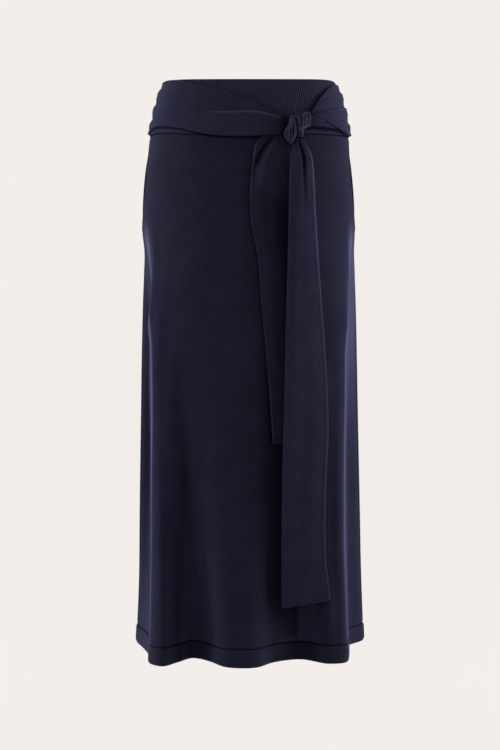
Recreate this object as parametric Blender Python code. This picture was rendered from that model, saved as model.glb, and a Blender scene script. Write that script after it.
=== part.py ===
"""A knitted skirt with a ribbed waistband and a knotted sash, filled out as if it were worn.

Metres, +Z up, the front faces -Y, and "left" is the left of someone who looks at the front.
The origin is the middle of the waist opening, level with the waistband's top edge, where a
wearer's waist holds the skirt. Run it with: blender --background --python part.py

Every piece lies on one surface, the body. A place on it is a drop (how far below the waist),
a share (0 at the left side seam, 1 at the right one) and a lift (how far out along the normal).
"""
import math
from collections import namedtuple

import bmesh
import bpy
import numpy as np

MM = 0.001

# ---------------------------------------------------------------- driving sizes
LENGTH = 874 * MM  # waist to hem
WAISTBAND_HEIGHT = 80 * MM
HEM_HEIGHT = 27 * MM
KNIT = 1.6 * MM  # wall of the plain knit
RIB_WALL = 2.0 * MM  # wall of the rib knit, in the grooves
RIB_HEIGHT = 0.8 * MM
RIBS_PER_HALF = 120
HEM_WALL = 2.2 * MM  # the tubular hem is thicker than the panel
SEAM_GAP = 0.3 * MM
REST_GAP = 1.2 * MM  # between the pocket bag and the panel that it lies under

# Plan sections of the body's inside, in mm. front and back are depths from the side seams, middle
# is how far the section's middle is across, and a squareness of 2 is an ellipse.
Section = namedtuple("Section", "drop half_width front back middle squareness")
SECTIONS = (
    Section(0, 131, 90, 94, 0.3, 2.6),
    Section(14, 137, 92, 97, 0.3, 2.6),
    Section(38, 144.2, 95, 102, 0.1, 2.55),
    Section(62, 149.5, 97, 107, 0, 2.5),
    Section(80, 152.8, 99, 110, -0.5, 2.5),
    Section(100, 155.6, 101, 113, -1.2, 2.5),
    Section(130, 159.5, 103.5, 116, -1.8, 2.5),
    Section(162, 162.4, 106, 119.5, -1.9, 2.5),
    Section(200, 164.2, 108, 122, -1.8, 2.5),
    Section(230, 164.1, 109, 122.5, -1.6, 2.5),
    Section(258, 162.8, 109.5, 122.5, -0.8, 2.5),
    Section(290, 163.9, 110, 122, -0.5, 2.5),
    Section(340, 165.5, 110, 121, -0.4, 2.5),
    Section(413, 167, 110, 119, -0.2, 2.5),
    Section(540, 168.9, 109, 117, 0.5, 2.5),
    Section(664, 171.1, 108, 114, 1.0, 2.5),
    Section(790, 173.4, 107, 112, 1.2, 2.5),
    Section(830, 175, 106, 111, 1.0, 2.5),
    Section(874, 177, 106, 110, 0.6, 2.5),
)

# The folds' plans at three levels, as (across, ahead) in mm, all round from the left side seam
# along the front and back along the back. ahead is the distance in front of the side seams. The
# same place in each list is the same fold, and above FOLDS_START there are no folds.
Plan = namedtuple("Plan", "drop front back")
PLANS = (
    Plan(380,
         ((-168, -6), (-153, 7), (-144, 28), (-145, 52), (-150, 73), (-141, 86), (-124, 94), (-103, 99.5),
          (-72, 106), (-38, 110.5), (0, 111.5), (34, 110.5), (72, 105.5), (110, 96.5), (131, 88),
          (145.5, 74), (147.5, 40)),
         ((166.8, -8), (162, -43), (141, -77.5), (98, -106), (50, -117.5), (-2, -119.5), (-54, -116.5),
          (-100, -105), (-141, -77.5), (-160, -48), (-167, -26))),
    Plan(560,
         ((-170, -6), (-154, -1), (-141, 22), (-140, 56), (-147.5, 89), (-136, 104), (-120, 107.5), (-100, 100),
          (-76, 106), (-50, 114.5), (-8, 114.5), (30, 110), (74, 92), (113, 98), (134, 95),
          (143, 81), (146.5, 38)),
         ((169.3, -12), (165, -66), (139, -104), (95, -92), (47, -124), (-2, -102), (-54, -126),
          (-99, -92), (-140, -104), (-162, -68), (-170, -28))),
    Plan(874,
         ((-177, -12), (-170, 10), (-160, 38), (-150, 76), (-147.5, 110), (-131, 123), (-108, 102), (-86, 79),
          (-58, 99), (-34, 128), (8, 130), (36, 98), (77, 76), (120, 109.5), (142.5, 104),
          (148.5, 76), (152.5, 28)),
         ((179, -24), (164.5, -74), (137, -119), (93, -86), (46, -138), (-2, -94), (-54, -140),
          (-99, -84), (-141, -116), (-166, -76), (-177.5, -38))),
)
FOLDS_START = 228 * MM

# The sash, from the side seams to the knot. top, fold and bottom are drops, proud is how far the
# part below the fold stands in front of the part above it, and lift clears what lies behind.
Station = namedtuple("Station", "share top fold bottom proud lift")
LEFT_SASH = (
    Station(0.001, 1, 39, 77, 0.0, 3.4),
    Station(0.03, 1, 38, 75.5, 0.0, 3.4),
    Station(0.07, 1, 36, 73, 0.0, 3.4),
    Station(0.12, 1, 36, 70, 0.2, 3.4),
    Station(0.175, 1.5, 38, 70.4, 0.6, 3.4),
    Station(0.235, 3.5, 43, 73.6, 1.2, 3.4),
    Station(0.30, 9, 47.5, 79.4, 2.0, 3.4),
    Station(0.352, 13.5, 48.5, 84.6, 2.6, 3.6),
    Station(0.405, 18.5, 48.5, 87, 3.0, 4.0),
    Station(0.46, 26, 48.3, 87.7, 3.2, 4.8),
    Station(0.51, 35, 48.6, 87.7, 3.0, 6.0),
    Station(0.55, 44.5, 50.5, 87.4, 2.6, 6.4),
    Station(0.585, 51.5, 54.5, 86.6, 1.8, 6.4),
    Station(0.63, 57, 60, 84, 1.0, 4.6),
    Station(0.69, 60, 64, 80, 0.4, 3.6),
)
RIGHT_SASH = (
    Station(0.695, 58, 62, 76, 0.4, 3.6),
    Station(0.725, 52, 56, 72, 0.8, 5.4),
    Station(0.755, 38, 50, 72, 1.2, 6.6),
    Station(0.78, 26, 47, 73.3, 1.6, 6.2),
    Station(0.81, 14.5, 44.5, 74, 2.0, 5.4),
    Station(0.845, 6, 42, 74, 2.2, 4.4),
    Station(0.885, 1.2, 39.5, 74.5, 1.8, 3.8),
    Station(0.93, 1, 38, 75.6, 1.0, 3.4),
    Station(0.97, 1, 38, 77, 0.4, 3.4),
    Station(0.999, 1, 38, 78.2, 0.0, 3.4),
)
SIDE_PLEATS = 3.1  # across the sash where the side seam catches it, with their lips upward
PLEAT_START = 0.72
PLEAT_HEIGHT = 3.4 * MM
PLEAT_REACH = 0.11  # share of the front's width along which they die out

# The tails hang from the knot. left and right are the edges' places across, and the two ahead
# columns are their depths. bow is how far the middle stands in front of a line between the edges,
# and cleft is the depth of the valley between two pleats, which lies at this share of the width.
Hang = namedtuple("Hang", "drop left right ahead_left ahead_right bow cleft cleft_at")
LONG_TAIL = (
    Hang(88.5, 67, 81, 107, 107, 0.6, 0.6, 0.45),
    Hang(98, 65, 85.5, 107, 106.6, 1.5, 2.5, 0.48),
    Hang(104, 63.3, 88.5, 108.5, 107.5, 3.5, 4.5, 0.52),
    Hang(113, 61.1, 92.3, 110, 108.2, 5.5, 5.0, 0.57),
    Hang(122, 60.3, 94.8, 110.4, 107.3, 6.3, 4.0, 0.58),
    Hang(134, 59.5, 96, 110.8, 106.5, 6.5, 2.6, 0.58),
    Hang(158, 58.7, 97.7, 112.2, 105.5, 6.0, 1.2, 0.58),
    Hang(190, 58, 99, 114, 104.5, 5.0, 0.4, 0.58),
    Hang(268, 56.4, 103.5, 116.5, 103, 3.5, 0, 0.58),
    Hang(370, 53.4, 111, 118, 103.5, 2.5, 0, 0.58),
    Hang(458, 51.8, 116.6, 119, 104.5, 2.0, 0, 0.58),
    Hang(524, 49.8, 118.4, 119, 105.5, 1.6, 0, 0.58),
    Hang(600, 48.2, 115, 118.5, 107.5, 1.8, 0, 0.58),
    Hang(660, 47.6, 113.7, 118.5, 109, 2.0, 0, 0.58),
    Hang(720, 47, 114.6, 118.5, 110.5, 1.6, 0, 0.58),
    Hang(784, 47, 121, 118.5, 112.5, 0.6, 0, 0.58),
)
SHORT_TAIL = (
    Hang(84, 24, 60, 103.6, 100.6, 0.4, 0.3, 0.22),
    Hang(90, 16.5, 60, 104.4, 101.4, 0.8, 0.8, 0.22),
    Hang(97, 9.8, 60.5, 106.5, 102.5, 1.5, 2.6, 0.21),
    Hang(106, 6.8, 60.7, 108, 103.5, 2.6, 3.2, 0.17),
    Hang(118, 5, 61, 109.6, 104.4, 3.0, 3.0, 0.12),
    Hang(132, 3.4, 62, 110.2, 105.2, 3.0, 1.6, 0.08),
    Hang(160, 0.5, 64, 111, 106, 2.4, 0.4, 0.05),
    Hang(204, 1, 67, 113, 107.5, 1.8, 0, 0.05),
    Hang(270, 12, 78, 114.4, 108, 1.8, 0, 0.05),
    Hang(320, 16, 84, 115, 108.3, 1.6, 0, 0.05),
    Hang(430, 26, 96, 115.8, 106, 1.2, 0, 0.05),
    Hang(546, 34.5, 106, 115.4, 104, 0.8, 0, 0.05),
)
TAIL_END_SLANT = 12 * MM  # the long tail's left corner hangs lower than the right one

# The knot: strands of sash wound over a core, as points from the knot's middle in mm.
KNOT_MIDDLE = (73 * MM, -109 * MM, -74.5 * MM)
KNOT_CORE = (15 * MM, 10 * MM, 14 * MM)
Strand = namedtuple("Strand", "name path width thickness")
KNOT_STRANDS = (
    Strand("left_leaf", ((-8, 3, 20), (-9, 9, 17.5), (-10.5, 12.5, 9), (-13, 14, -1), (-13.5, 13, -10),
                         (-11.5, 10, -18), (-9, 6, -24)), (8, 12, 15, 18, 17, 11, 5), 8.5),
    Strand("middle", ((0, 4, 19), (-0.5, 10, 15.5), (-0.5, 13, 8), (0, 14, -1), (1, 12, -8),
                      (2, 8, -13)), (7, 7.5, 7.5, 7, 6.5, 6), 8),
    Strand("right_lobe", ((11, 3, 21), (11, 9, 18.5), (10, 12.5, 11), (8.5, 14, 3), (6.5, 13, -4),
                          (5, 10.5, -11), (4, 8, -16)), (13, 16, 16, 14, 11, 9, 7), 8.5),
    Strand("right_collar", ((17.5, 1, 23), (17.5, 6, 18), (16, 9, 9), (12.5, 11, 2), (9, 11, -5),
                            (7, 9, -12)), (6, 7, 7, 7, 6, 5), 7.5),
)

# The side pockets: the front panel's edge gapes from the side seam, over a flat bag.
POCKET_TOP = 81 * MM
POCKET_MOUTH_END = 226 * MM
POCKET_GAPE = 26 * MM
POCKET_BOTTOM = 300 * MM
POCKET_WIDTH = 120 * MM
POCKET_WALL = 2.4 * MM

# ---------------------------------------------------------------- mesh density
PANEL_COLUMNS = 47
MOUTH_DROPS = (110 * MM, 145 * MM, 180 * MM, 210 * MM, POCKET_MOUTH_END + 0.5 * MM)
FOLD_DROPS = tuple(drop * MM for drop in (262, 302, 345, 400, 480, 570, 670, 765))
HEM_ROWS = 3
WAISTBAND_DROPS = (0 * MM, 16 * MM, 44 * MM, WAISTBAND_HEIGHT)
POINTS_PER_RIB = 2
RIB_POINTS_PER_INNER_POINT = 4
SASH_COLUMNS = 16
LEFT_SASH_STATIONS = 28
RIGHT_SASH_STATIONS = 14
TAIL_COLUMNS = 11
POCKET_COLUMNS = 9
POCKET_ROWS = 10
STRAND_RINGS = 13
STRAND_SIDES = 10


# ---------------------------------------------------------------- scene and materials
def clear_scene():
    for thing in list(bpy.data.objects):
        bpy.data.objects.remove(thing, do_unlink=True)


def collection(name):
    made = bpy.data.collections.new(name)
    bpy.context.scene.collection.children.link(made)
    return made


def linear(hex_colour):
    """An sRGB hex value as the linear colour that a shader takes."""
    parts = [int(hex_colour[i:i + 2], 16) / 255 for i in (1, 3, 5)]
    return tuple(p / 12.92 if p <= 0.04045 else ((p + 0.055) / 1.055) ** 2.4 for p in parts) + (1,)


def fabric(name, hex_colour, roughness):
    made = bpy.data.materials.new(name)
    made.use_nodes = True
    shader = made.node_tree.nodes["Principled BSDF"]
    shader.inputs["Base Color"].default_value = linear(hex_colour)
    shader.inputs["Roughness"].default_value = roughness
    shader.inputs["Metallic"].default_value = 0
    made.diffuse_color = linear(hex_colour)
    return made


# ---------------------------------------------------------------- the body surface
def smooth_table(at, knots, values):
    """Values at these places on the smooth curve that runs through a table's rows."""
    knots, values = np.asarray(knots, float), np.asarray(values, float)
    slopes = np.gradient(values, knots)
    i = np.clip(np.searchsorted(knots, at) - 1, 0, len(knots) - 2)
    width = knots[i + 1] - knots[i]
    s = np.clip((at - knots[i]) / width, 0, 1)
    return (values[i] * (1 + 2 * s) * (1 - s) ** 2 + slopes[i] * width * s * (1 - s) ** 2
            + values[i + 1] * s * s * (3 - 2 * s) + slopes[i + 1] * width * s * s * (s - 1))


def column(table, name):
    return [getattr(row, name) for row in table]


def smoothstep(value):
    s = np.clip(value, 0, 1)
    return s * s * (3 - 2 * s)


def lengths_along(points):
    steps = np.linalg.norm(np.diff(points, axis=0), axis=1)
    return np.concatenate([[0], np.cumsum(steps)])


def evenly(points, shares):
    """Points at these shares of a line's length."""
    along = lengths_along(points[:, :2])
    return np.stack([np.interp(shares * along[-1], along, points[:, k])
                     for k in range(points.shape[1])], axis=1)


def half_oval(half_width, depth, squareness, shares):
    """The section with no folds, as across and ahead, from the left side seam to the right one."""
    angle = np.linspace(-math.pi / 2, math.pi / 2, 241)
    radius = (np.abs(np.sin(angle) / half_width) ** squareness
              + np.abs(np.cos(angle) / depth) ** squareness) ** (-1 / squareness)
    return evenly(np.stack([radius * np.sin(angle), radius * np.cos(angle)], axis=1), shares)


def oval(side, drop, shares):
    """The body's line at this drop before it is folded, as across and ahead."""
    width, depth, middle, squareness = (
        float(smooth_table(drop / MM, column(SECTIONS, "drop"), column(SECTIONS, name)))
        for name in ("half_width", side, "middle", "squareness"))
    facing = 1 if side == "front" else -1
    return half_oval(width * MM, depth * MM, squareness, shares) * (1, facing) + (middle * MM, 0)


def folded_plan(plan, side):
    """A plan's line between the side seams, with as many points between each two of its own."""
    loop = np.array(plan.front + plan.back, float) * MM
    loop = np.concatenate([loop[-3:], loop, loop[:4]])
    knots = lengths_along(loop)
    left, right, left_again = 3, 3 + len(plan.front), 3 + len(plan.front) + len(plan.back)
    ends = (left, right) if side == "front" else (left_again, right)
    at = np.interp(np.linspace(*ends, 641), np.arange(len(knots)), knots)
    return np.stack([smooth_table(at, knots, loop[:, k]) for k in range(2)], axis=1)


def between_levels(drop, levels, values):
    """Values at this drop on the smooth curve through the levels, which starts flat."""
    slopes = np.gradient(values, levels, axis=0)
    slopes[0] = 0
    i = int(np.clip(np.searchsorted(levels, drop) - 1, 0, len(levels) - 2))
    width = levels[i + 1] - levels[i]
    s = float(np.clip((drop - levels[i]) / width, 0, 1))
    return (values[i] * (1 + 2 * s) * (1 - s) ** 2 + slopes[i] * width * s * (1 - s) ** 2
            + values[i + 1] * s * s * (3 - 2 * s) + slopes[i + 1] * width * s * s * (s - 1))


def body_rows(side, drops, shares):
    """The body's inside at these levels, folds included."""
    levels = np.array([FOLDS_START] + [plan.drop * MM for plan in PLANS])
    lines = [folded_plan(plan, side) for plan in PLANS]
    places = [lengths_along(line) / lengths_along(line)[-1] for line in lines]
    moves = [line - oval(side, plan.drop * MM, place) for line, place, plan in zip(lines, places, PLANS)]
    places, moves = np.stack(places[:1] + places), np.stack([moves[0] * 0] + moves)
    rows = []
    for drop in drops:
        line = oval(side, drop, between_levels(drop, levels, places)) + between_levels(drop, levels, moves)
        even = evenly(line, shares)
        rows.append(np.stack([even[:, 0], -even[:, 1], np.full(len(shares), -drop)], axis=1))
    return np.stack(rows)


class Body:
    """The front or the back of the body, sampled once: points and outward normals."""

    def __init__(self, side):
        self.drops = np.linspace(0, LENGTH, 220)
        self.shares = np.linspace(0, 1, 321)
        self.points = body_rows(side, self.drops, self.shares)
        down = np.gradient(self.points, self.drops, axis=0)
        along = np.gradient(self.points, self.shares, axis=1)
        outward = np.cross(down, along) if side == "front" else np.cross(along, down)
        self.normals = outward / np.linalg.norm(outward, axis=2, keepdims=True)

    def at(self, drop, share, lift=0.0):
        """Points at these places, for arrays of one shape."""
        drop, share, lift = np.broadcast_arrays(drop, share, lift)
        row = np.clip(drop / LENGTH, 0, 1) * (len(self.drops) - 1)
        col = np.clip(share, 0, 1) * (len(self.shares) - 1)
        r, c = np.minimum(row.astype(int), len(self.drops) - 2), np.minimum(col.astype(int), len(self.shares) - 2)
        fr, fc = (row - r)[..., None], (col - c)[..., None]

        def mix(table):
            return ((table[r, c] * (1 - fc) + table[r, c + 1] * fc) * (1 - fr)
                    + (table[r + 1, c] * (1 - fc) + table[r + 1, c + 1] * fc) * fr)

        return mix(self.points) + mix(self.normals) * lift[..., None]

    def width(self, drop):
        """The length of the line from side seam to side seam at this drop."""
        return lengths_along(self.points[int(round(drop / LENGTH * (len(self.drops) - 1)))])[-1]


# ---------------------------------------------------------------- solids
def finish(name, mesh, material, group):
    bmesh.ops.recalc_face_normals(mesh, faces=mesh.faces[:])
    data = bpy.data.meshes.new(name)
    mesh.to_mesh(data)
    mesh.free()
    data.materials.append(material)
    data.shade_smooth()
    data.set_sharp_from_angle(angle=math.radians(50))
    made = bpy.data.objects.new(name, data)
    group.objects.link(made)
    return made


def wall(name, inside, outside, material, group):
    """A closed wall between two sheets of points of the same shape: a grid laid on the inside
    sheet is extruded, and the new points go to the outside one."""
    rows, columns = inside.shape[:2]
    mesh = bmesh.new()
    bmesh.ops.create_grid(mesh, x_segments=columns - 1, y_segments=rows - 1, size=1)
    index = mesh.verts.layers.int.new("index")
    for number, vert in enumerate(mesh.verts):
        vert[index] = number
        vert.co = inside.reshape(-1, 3)[number]
    made = bmesh.ops.extrude_face_region(mesh, geom=mesh.faces[:], use_keep_orig=True)
    for vert in (g for g in made["geom"] if isinstance(g, bmesh.types.BMVert)):
        vert.co = outside.reshape(-1, 3)[vert[index]]
    return finish(name, mesh, material, group)


def ribbed_band(name, inner, outer, material, group):
    """A closed band whose outside has several points for each one of its plain inside."""
    mesh = bmesh.new()
    inside = [[mesh.verts.new(p) for p in row] for row in inner]
    outside = [[mesh.verts.new(p) for p in row] for row in outer]
    step = (len(outside[0]) - 1) // (len(inside[0]) - 1)
    for sheet in (inside, outside):
        for upper, lower in zip(sheet, sheet[1:]):
            for k in range(len(upper) - 1):
                mesh.faces.new((upper[k], upper[k + 1], lower[k + 1], lower[k]))
    for i, o in ((inside[0], outside[0]), (inside[-1], outside[-1])):
        for k in range(len(i) - 1):
            mesh.faces.new(o[k * step:(k + 1) * step + 1] + [i[k + 1], i[k]])
    for end in (0, -1):
        for k in range(len(inside) - 1):
            mesh.faces.new((inside[k][end], outside[k][end], outside[k + 1][end], inside[k + 1][end]))
    return finish(name, mesh, material, group)


def tube(name, rings, material, group):
    """A closed loft through rings of the same number of points."""
    mesh = bmesh.new()
    loops = [[mesh.verts.new(p) for p in ring] for ring in rings]
    for first, second in zip(loops, loops[1:]):
        for k in range(len(first)):
            j = (k + 1) % len(first)
            mesh.faces.new((first[k], first[j], second[j], second[k]))
    mesh.faces.new(loops[0])
    mesh.faces.new(loops[-1])
    return finish(name, mesh, material, group)


# ---------------------------------------------------------------- skirt panels, hem, waistband
def seam_to_seam(body, drop, count):
    """Shares from one side seam to the other that leave half the seam's gap at each end."""
    edge = SEAM_GAP / 2 / body.width(drop)
    return np.linspace(edge, 1 - edge, count)


def pocket_inset(drop):
    """How far the front panel's edge keeps from the side seam, along the pocket's mouth."""
    along = np.clip((drop - POCKET_TOP) / (POCKET_MOUTH_END - POCKET_TOP), 0, 1)
    return POCKET_GAPE * np.sin(math.pi * along ** 1.2)


def panel(name, side, body, material, group):
    top, bottom = WAISTBAND_HEIGHT + SEAM_GAP, LENGTH - HEM_HEIGHT - SEAM_GAP
    drops = np.array((top,) + MOUTH_DROPS + FOLD_DROPS + (bottom,))
    shares = np.stack([seam_to_seam(body, drop, PANEL_COLUMNS) for drop in drops])
    if side == "front":
        for row, drop in enumerate(drops):
            inset = pocket_inset(drop) / body.width(drop)
            shares[row] = inset + shares[row] * (1 - 2 * inset)
    return wall(name, body.at(drops[:, None], shares), body.at(drops[:, None], shares, KNIT),
                material, group)


def hem_band(name, body, material, group):
    drops = np.linspace(LENGTH - HEM_HEIGHT, LENGTH, HEM_ROWS)
    shares = np.stack([seam_to_seam(body, drop, PANEL_COLUMNS) for drop in drops])
    inside = KNIT - HEM_WALL
    return wall(name, body.at(drops[:, None], shares, inside), body.at(drops[:, None], shares, KNIT),
                material, group)


def waistband(name, body, material, group):
    points = RIBS_PER_HALF * POINTS_PER_RIB
    drops = np.array(WAISTBAND_DROPS)
    outer_shares = np.stack([seam_to_seam(body, drop, points + 1) for drop in drops])
    inner_shares = outer_shares[:, ::RIB_POINTS_PER_INNER_POINT]
    crest = np.arange(points + 1) % POINTS_PER_RIB
    lift = RIB_WALL + RIB_HEIGHT * crest / (POINTS_PER_RIB - 1)
    return ribbed_band(name, body.at(drops[:, None], inner_shares),
                       body.at(drops[:, None], outer_shares, lift[None, :]), material, group)


# ---------------------------------------------------------------- sash
def sash(name, table, stations, body, material, group):
    """One side of the sash: stations along it, and columns from its bottom edge to its top one."""
    given = column(table, "share")
    share = np.linspace(given[0], given[-1], stations)[:, None]
    q = np.linspace(0, 1, SASH_COLUMNS)[None, :]
    top, fold, bottom, proud, lift = (
        smooth_table(share, given, column(table, field)) * MM
        for field in ("top", "fold", "bottom", "proud", "lift"))
    drop = np.where(q < 0.5, bottom + (fold - bottom) * q * 2, fold + (top - fold) * (q * 2 - 1))
    below_fold = 1 - smoothstep((q - 0.5) / 0.12)
    round_front = 0.55 + 0.45 * np.sin(np.clip(q * 2, 0, 1) * math.pi / 2)
    from_seam = np.minimum(share, 1 - share)
    pleat = (SIDE_PLEATS * (1 - q) + PLEAT_START) % 1
    saw = smoothstep(pleat / 0.25) * (1 - smoothstep((pleat - 0.25) / 0.75))
    reach = np.clip(1 - from_seam / PLEAT_REACH, 0, 1) ** 1.5
    out = lift + proud * below_fold * round_front + PLEAT_HEIGHT * saw * reach
    inside, outside = body.at(drop, share, out), body.at(drop, share, out + KNIT)
    return wall(name, inside, outside, material, group)


def tail(name, table, end_slant, material, group):
    """A hanging end of the sash: rows down it, and columns across it."""
    v = np.linspace(0, 1, TAIL_COLUMNS)[None, :]
    drop, left, right, ahead_left, ahead_right, bow, cleft = (
        np.array(column(table, name))[:, None] * MM for name in Hang._fields[:-1])
    valley = np.exp(-((v - np.array(column(table, "cleft_at"))[:, None]) / 0.11) ** 2)
    last = (drop - drop[-3]) / (drop[-1] - drop[-3])
    across = left + (right - left) * v
    depth = (ahead_left + (ahead_right - ahead_left) * v + bow * (1 - (2 * v - 1) ** 2)
             - cleft * valley)
    level = drop - end_slant * (v - 0.5) * np.clip(last, 0, 1)
    front = np.stack(np.broadcast_arrays(across, -depth, -level), axis=2)
    along = np.gradient(front, axis=1)
    down = np.gradient(front, axis=0)
    normal = np.cross(down, along)
    normal /= np.linalg.norm(normal, axis=2, keepdims=True)
    return wall(name, front - normal * KNIT, front, material, group)


# ---------------------------------------------------------------- knot
def strand_rings(strand):
    """Rings of a flat, rounded section along the strand's path, in the knot's place."""
    path = np.array(strand.path, float)
    knots = lengths_along(path)
    at = np.linspace(0, knots[-1], STRAND_RINGS)
    line = np.stack([smooth_table(at, knots, path[:, k]) for k in range(3)], axis=1)
    width = smooth_table(at, knots, strand.width)
    heading = np.gradient(line, axis=0)
    heading /= np.linalg.norm(heading, axis=1, keepdims=True)
    turn = np.linspace(0, 2 * math.pi, STRAND_SIDES, endpoint=False)
    rings = []
    for centre, ahead, wide in zip(line, heading, width):
        sideways = np.cross(ahead, centre)
        sideways /= np.linalg.norm(sideways)
        outward = np.cross(sideways, ahead)
        ring = (centre + np.outer(np.cos(turn) * wide / 2, sideways)
                + np.outer(np.sin(turn) * strand.thickness / 2, outward))
        rings.append(ring * (MM, -MM, MM) + KNOT_MIDDLE)
    return rings


def knot(name, material, group, helpers):
    """The core and the strands round it, joined into one solid."""
    mesh = bmesh.new()
    bmesh.ops.create_uvsphere(mesh, u_segments=16, v_segments=10, radius=1)
    bmesh.ops.scale(mesh, vec=KNOT_CORE, verts=mesh.verts[:])
    bmesh.ops.translate(mesh, vec=KNOT_MIDDLE, verts=mesh.verts[:])
    core = finish(name, mesh, material, group)
    for strand in KNOT_STRANDS:
        turn = tube("knot_" + strand.name, strand_rings(strand), material, helpers)
        turn.hide_render = True
        turn.display_type = "WIRE"
        join = core.modifiers.new(strand.name, "BOOLEAN")
        join.operation = "UNION"
        join.object = turn
    return core


# ---------------------------------------------------------------- pockets
def pocket(name, seam, body, material, group):
    """A flat bag under the front panel, rounded at its lower corners."""
    drops = np.linspace(POCKET_TOP, POCKET_BOTTOM, POCKET_ROWS)[:, None]
    width = np.array([body.width(drop) for drop in drops[:, 0]])[:, None]
    across = np.linspace(0, 1, POCKET_COLUMNS)[None, :]
    corner = np.clip((drops - POCKET_MOUTH_END) / (POCKET_BOTTOM - POCKET_MOUTH_END), 0, 1) ** 2
    near = SEAM_GAP + POCKET_WIDTH * 0.12 * corner
    far = POCKET_WIDTH * (1 - 0.25 * corner)
    share = (near + (far - near) * across) / width
    share = share if seam == "left" else 1 - share
    hang = -REST_GAP * (1 + 0.8 * np.sqrt(corner))  # its loose end hangs a little further from the panel
    return wall(name, body.at(drops, share, hang - POCKET_WALL), body.at(drops, share, hang), material, group)


def main():
    clear_scene()
    group, helpers = collection("tie_waist_skirt"), collection("cutters")
    jersey = fabric("navy_jersey_knit", "#20223A", 0.85)
    rib = fabric("navy_rib_knit", "#1D1F35", 0.88)
    bodies = {side: Body(side) for side in ("front", "back")}
    for side, body in bodies.items():
        panel("skirt_" + side, side, body, jersey, group)
        hem_band("hem_band_" + side, body, jersey, group)
        waistband("waistband_" + side, body, rib, group)
    front = bodies["front"]
    sash("sash_left", LEFT_SASH, LEFT_SASH_STATIONS, front, jersey, group)
    sash("sash_right", RIGHT_SASH, RIGHT_SASH_STATIONS, front, jersey, group)
    tail("sash_tail_long", LONG_TAIL, TAIL_END_SLANT, jersey, group)
    tail("sash_tail_short", SHORT_TAIL, 0, jersey, group)
    knot("sash_knot", jersey, group, helpers)
    for seam in ("left", "right"):
        pocket("pocket_" + seam, seam, front, jersey, group)
    helpers.hide_render = True


main()
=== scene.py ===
# %% [markdown]
# # A long knitted skirt, from its frame to its finish
#
# The skirt is a tube of navy knit that widens from the waist to the hem. A ribbed band holds it at
# the waist. A wide sash starts in both side seams, crosses the front and is knotted at one side,
# and its two ends hang down. The measured frame comes first, because each piece of cloth lies
# where the frame's solids lie.
import math
from collections import namedtuple

import bmesh
import bpy
import numpy as np
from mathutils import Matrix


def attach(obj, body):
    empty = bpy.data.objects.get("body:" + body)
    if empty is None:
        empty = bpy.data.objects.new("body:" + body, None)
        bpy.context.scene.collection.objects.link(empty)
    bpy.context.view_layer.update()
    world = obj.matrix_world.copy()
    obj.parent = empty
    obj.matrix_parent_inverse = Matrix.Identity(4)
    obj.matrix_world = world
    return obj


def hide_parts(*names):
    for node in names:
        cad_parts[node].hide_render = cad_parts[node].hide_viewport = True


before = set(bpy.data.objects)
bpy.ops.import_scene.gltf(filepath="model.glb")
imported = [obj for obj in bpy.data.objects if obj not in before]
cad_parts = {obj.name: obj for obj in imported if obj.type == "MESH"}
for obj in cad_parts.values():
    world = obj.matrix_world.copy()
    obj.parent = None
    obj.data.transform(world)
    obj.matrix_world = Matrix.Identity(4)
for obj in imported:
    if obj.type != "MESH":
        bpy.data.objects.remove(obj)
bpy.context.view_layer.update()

MM = 0.001
print("the frame's solids:", sorted(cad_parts))

# %% [markdown]
# ## The form that the cloth lies on
#
# A worn skirt has no flat faces: its shape is the hips inside it above, and its own folds below.
# A maker would pin it on a dress form. Here one surface stands in for that form. A place on it is
# a drop (how far below the waist), a share (0 at the left side seam and 1 at the right one) and a
# lift (how far the cloth stands off it). Every piece can then be cut as a flat grid and laid on
# this surface, as cloth is.

# %% Sizes that the whole skirt shares
LENGTH = 874 * MM
WAISTBAND_HEIGHT = 80 * MM
HEM_HEIGHT = 27 * MM
KNIT = 1.6 * MM  # thickness of the plain knit
SEAM_GAP = 0.04 * MM  # sewn edges meet, so no light shows between them

# %% The form's plan sections, in millimetres
Section = namedtuple("Section", "drop half_width front back middle squareness")
SECTIONS = (
    Section(0, 131, 90, 94, 0.3, 2.6),
    Section(14, 137, 92, 97, 0.3, 2.6),
    Section(38, 144.2, 95, 102, 0.1, 2.55),
    Section(62, 149.5, 97, 107, 0, 2.5),
    Section(80, 152.8, 99, 110, -0.5, 2.5),
    Section(100, 155.6, 101, 113, -1.2, 2.5),
    Section(130, 160.1, 103.5, 116, -1.8, 2.5),
    Section(162, 163.2, 106, 119.5, -1.9, 2.5),
    Section(200, 164.9, 108, 122, -1.8, 2.5),
    Section(230, 164.3, 109, 122.5, -1.6, 2.5),
    Section(258, 162.8, 109.5, 122.5, -0.8, 2.5),
    Section(290, 163.9, 110, 122, -0.5, 2.5),
    Section(340, 165.5, 110, 121, -0.4, 2.5),
    Section(413, 167, 110, 119, -0.2, 2.5),
    Section(540, 168.9, 109, 117, 0.5, 2.5),
    Section(664, 171.1, 108, 114, 1.0, 2.5),
    Section(790, 173.4, 107, 112, 1.2, 2.5),
    Section(830, 175, 106, 111, 1.0, 2.5),
    Section(874, 177, 106, 110, 0.6, 2.5),
)
print(len(SECTIONS), "plan sections from waist to hem")

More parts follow.
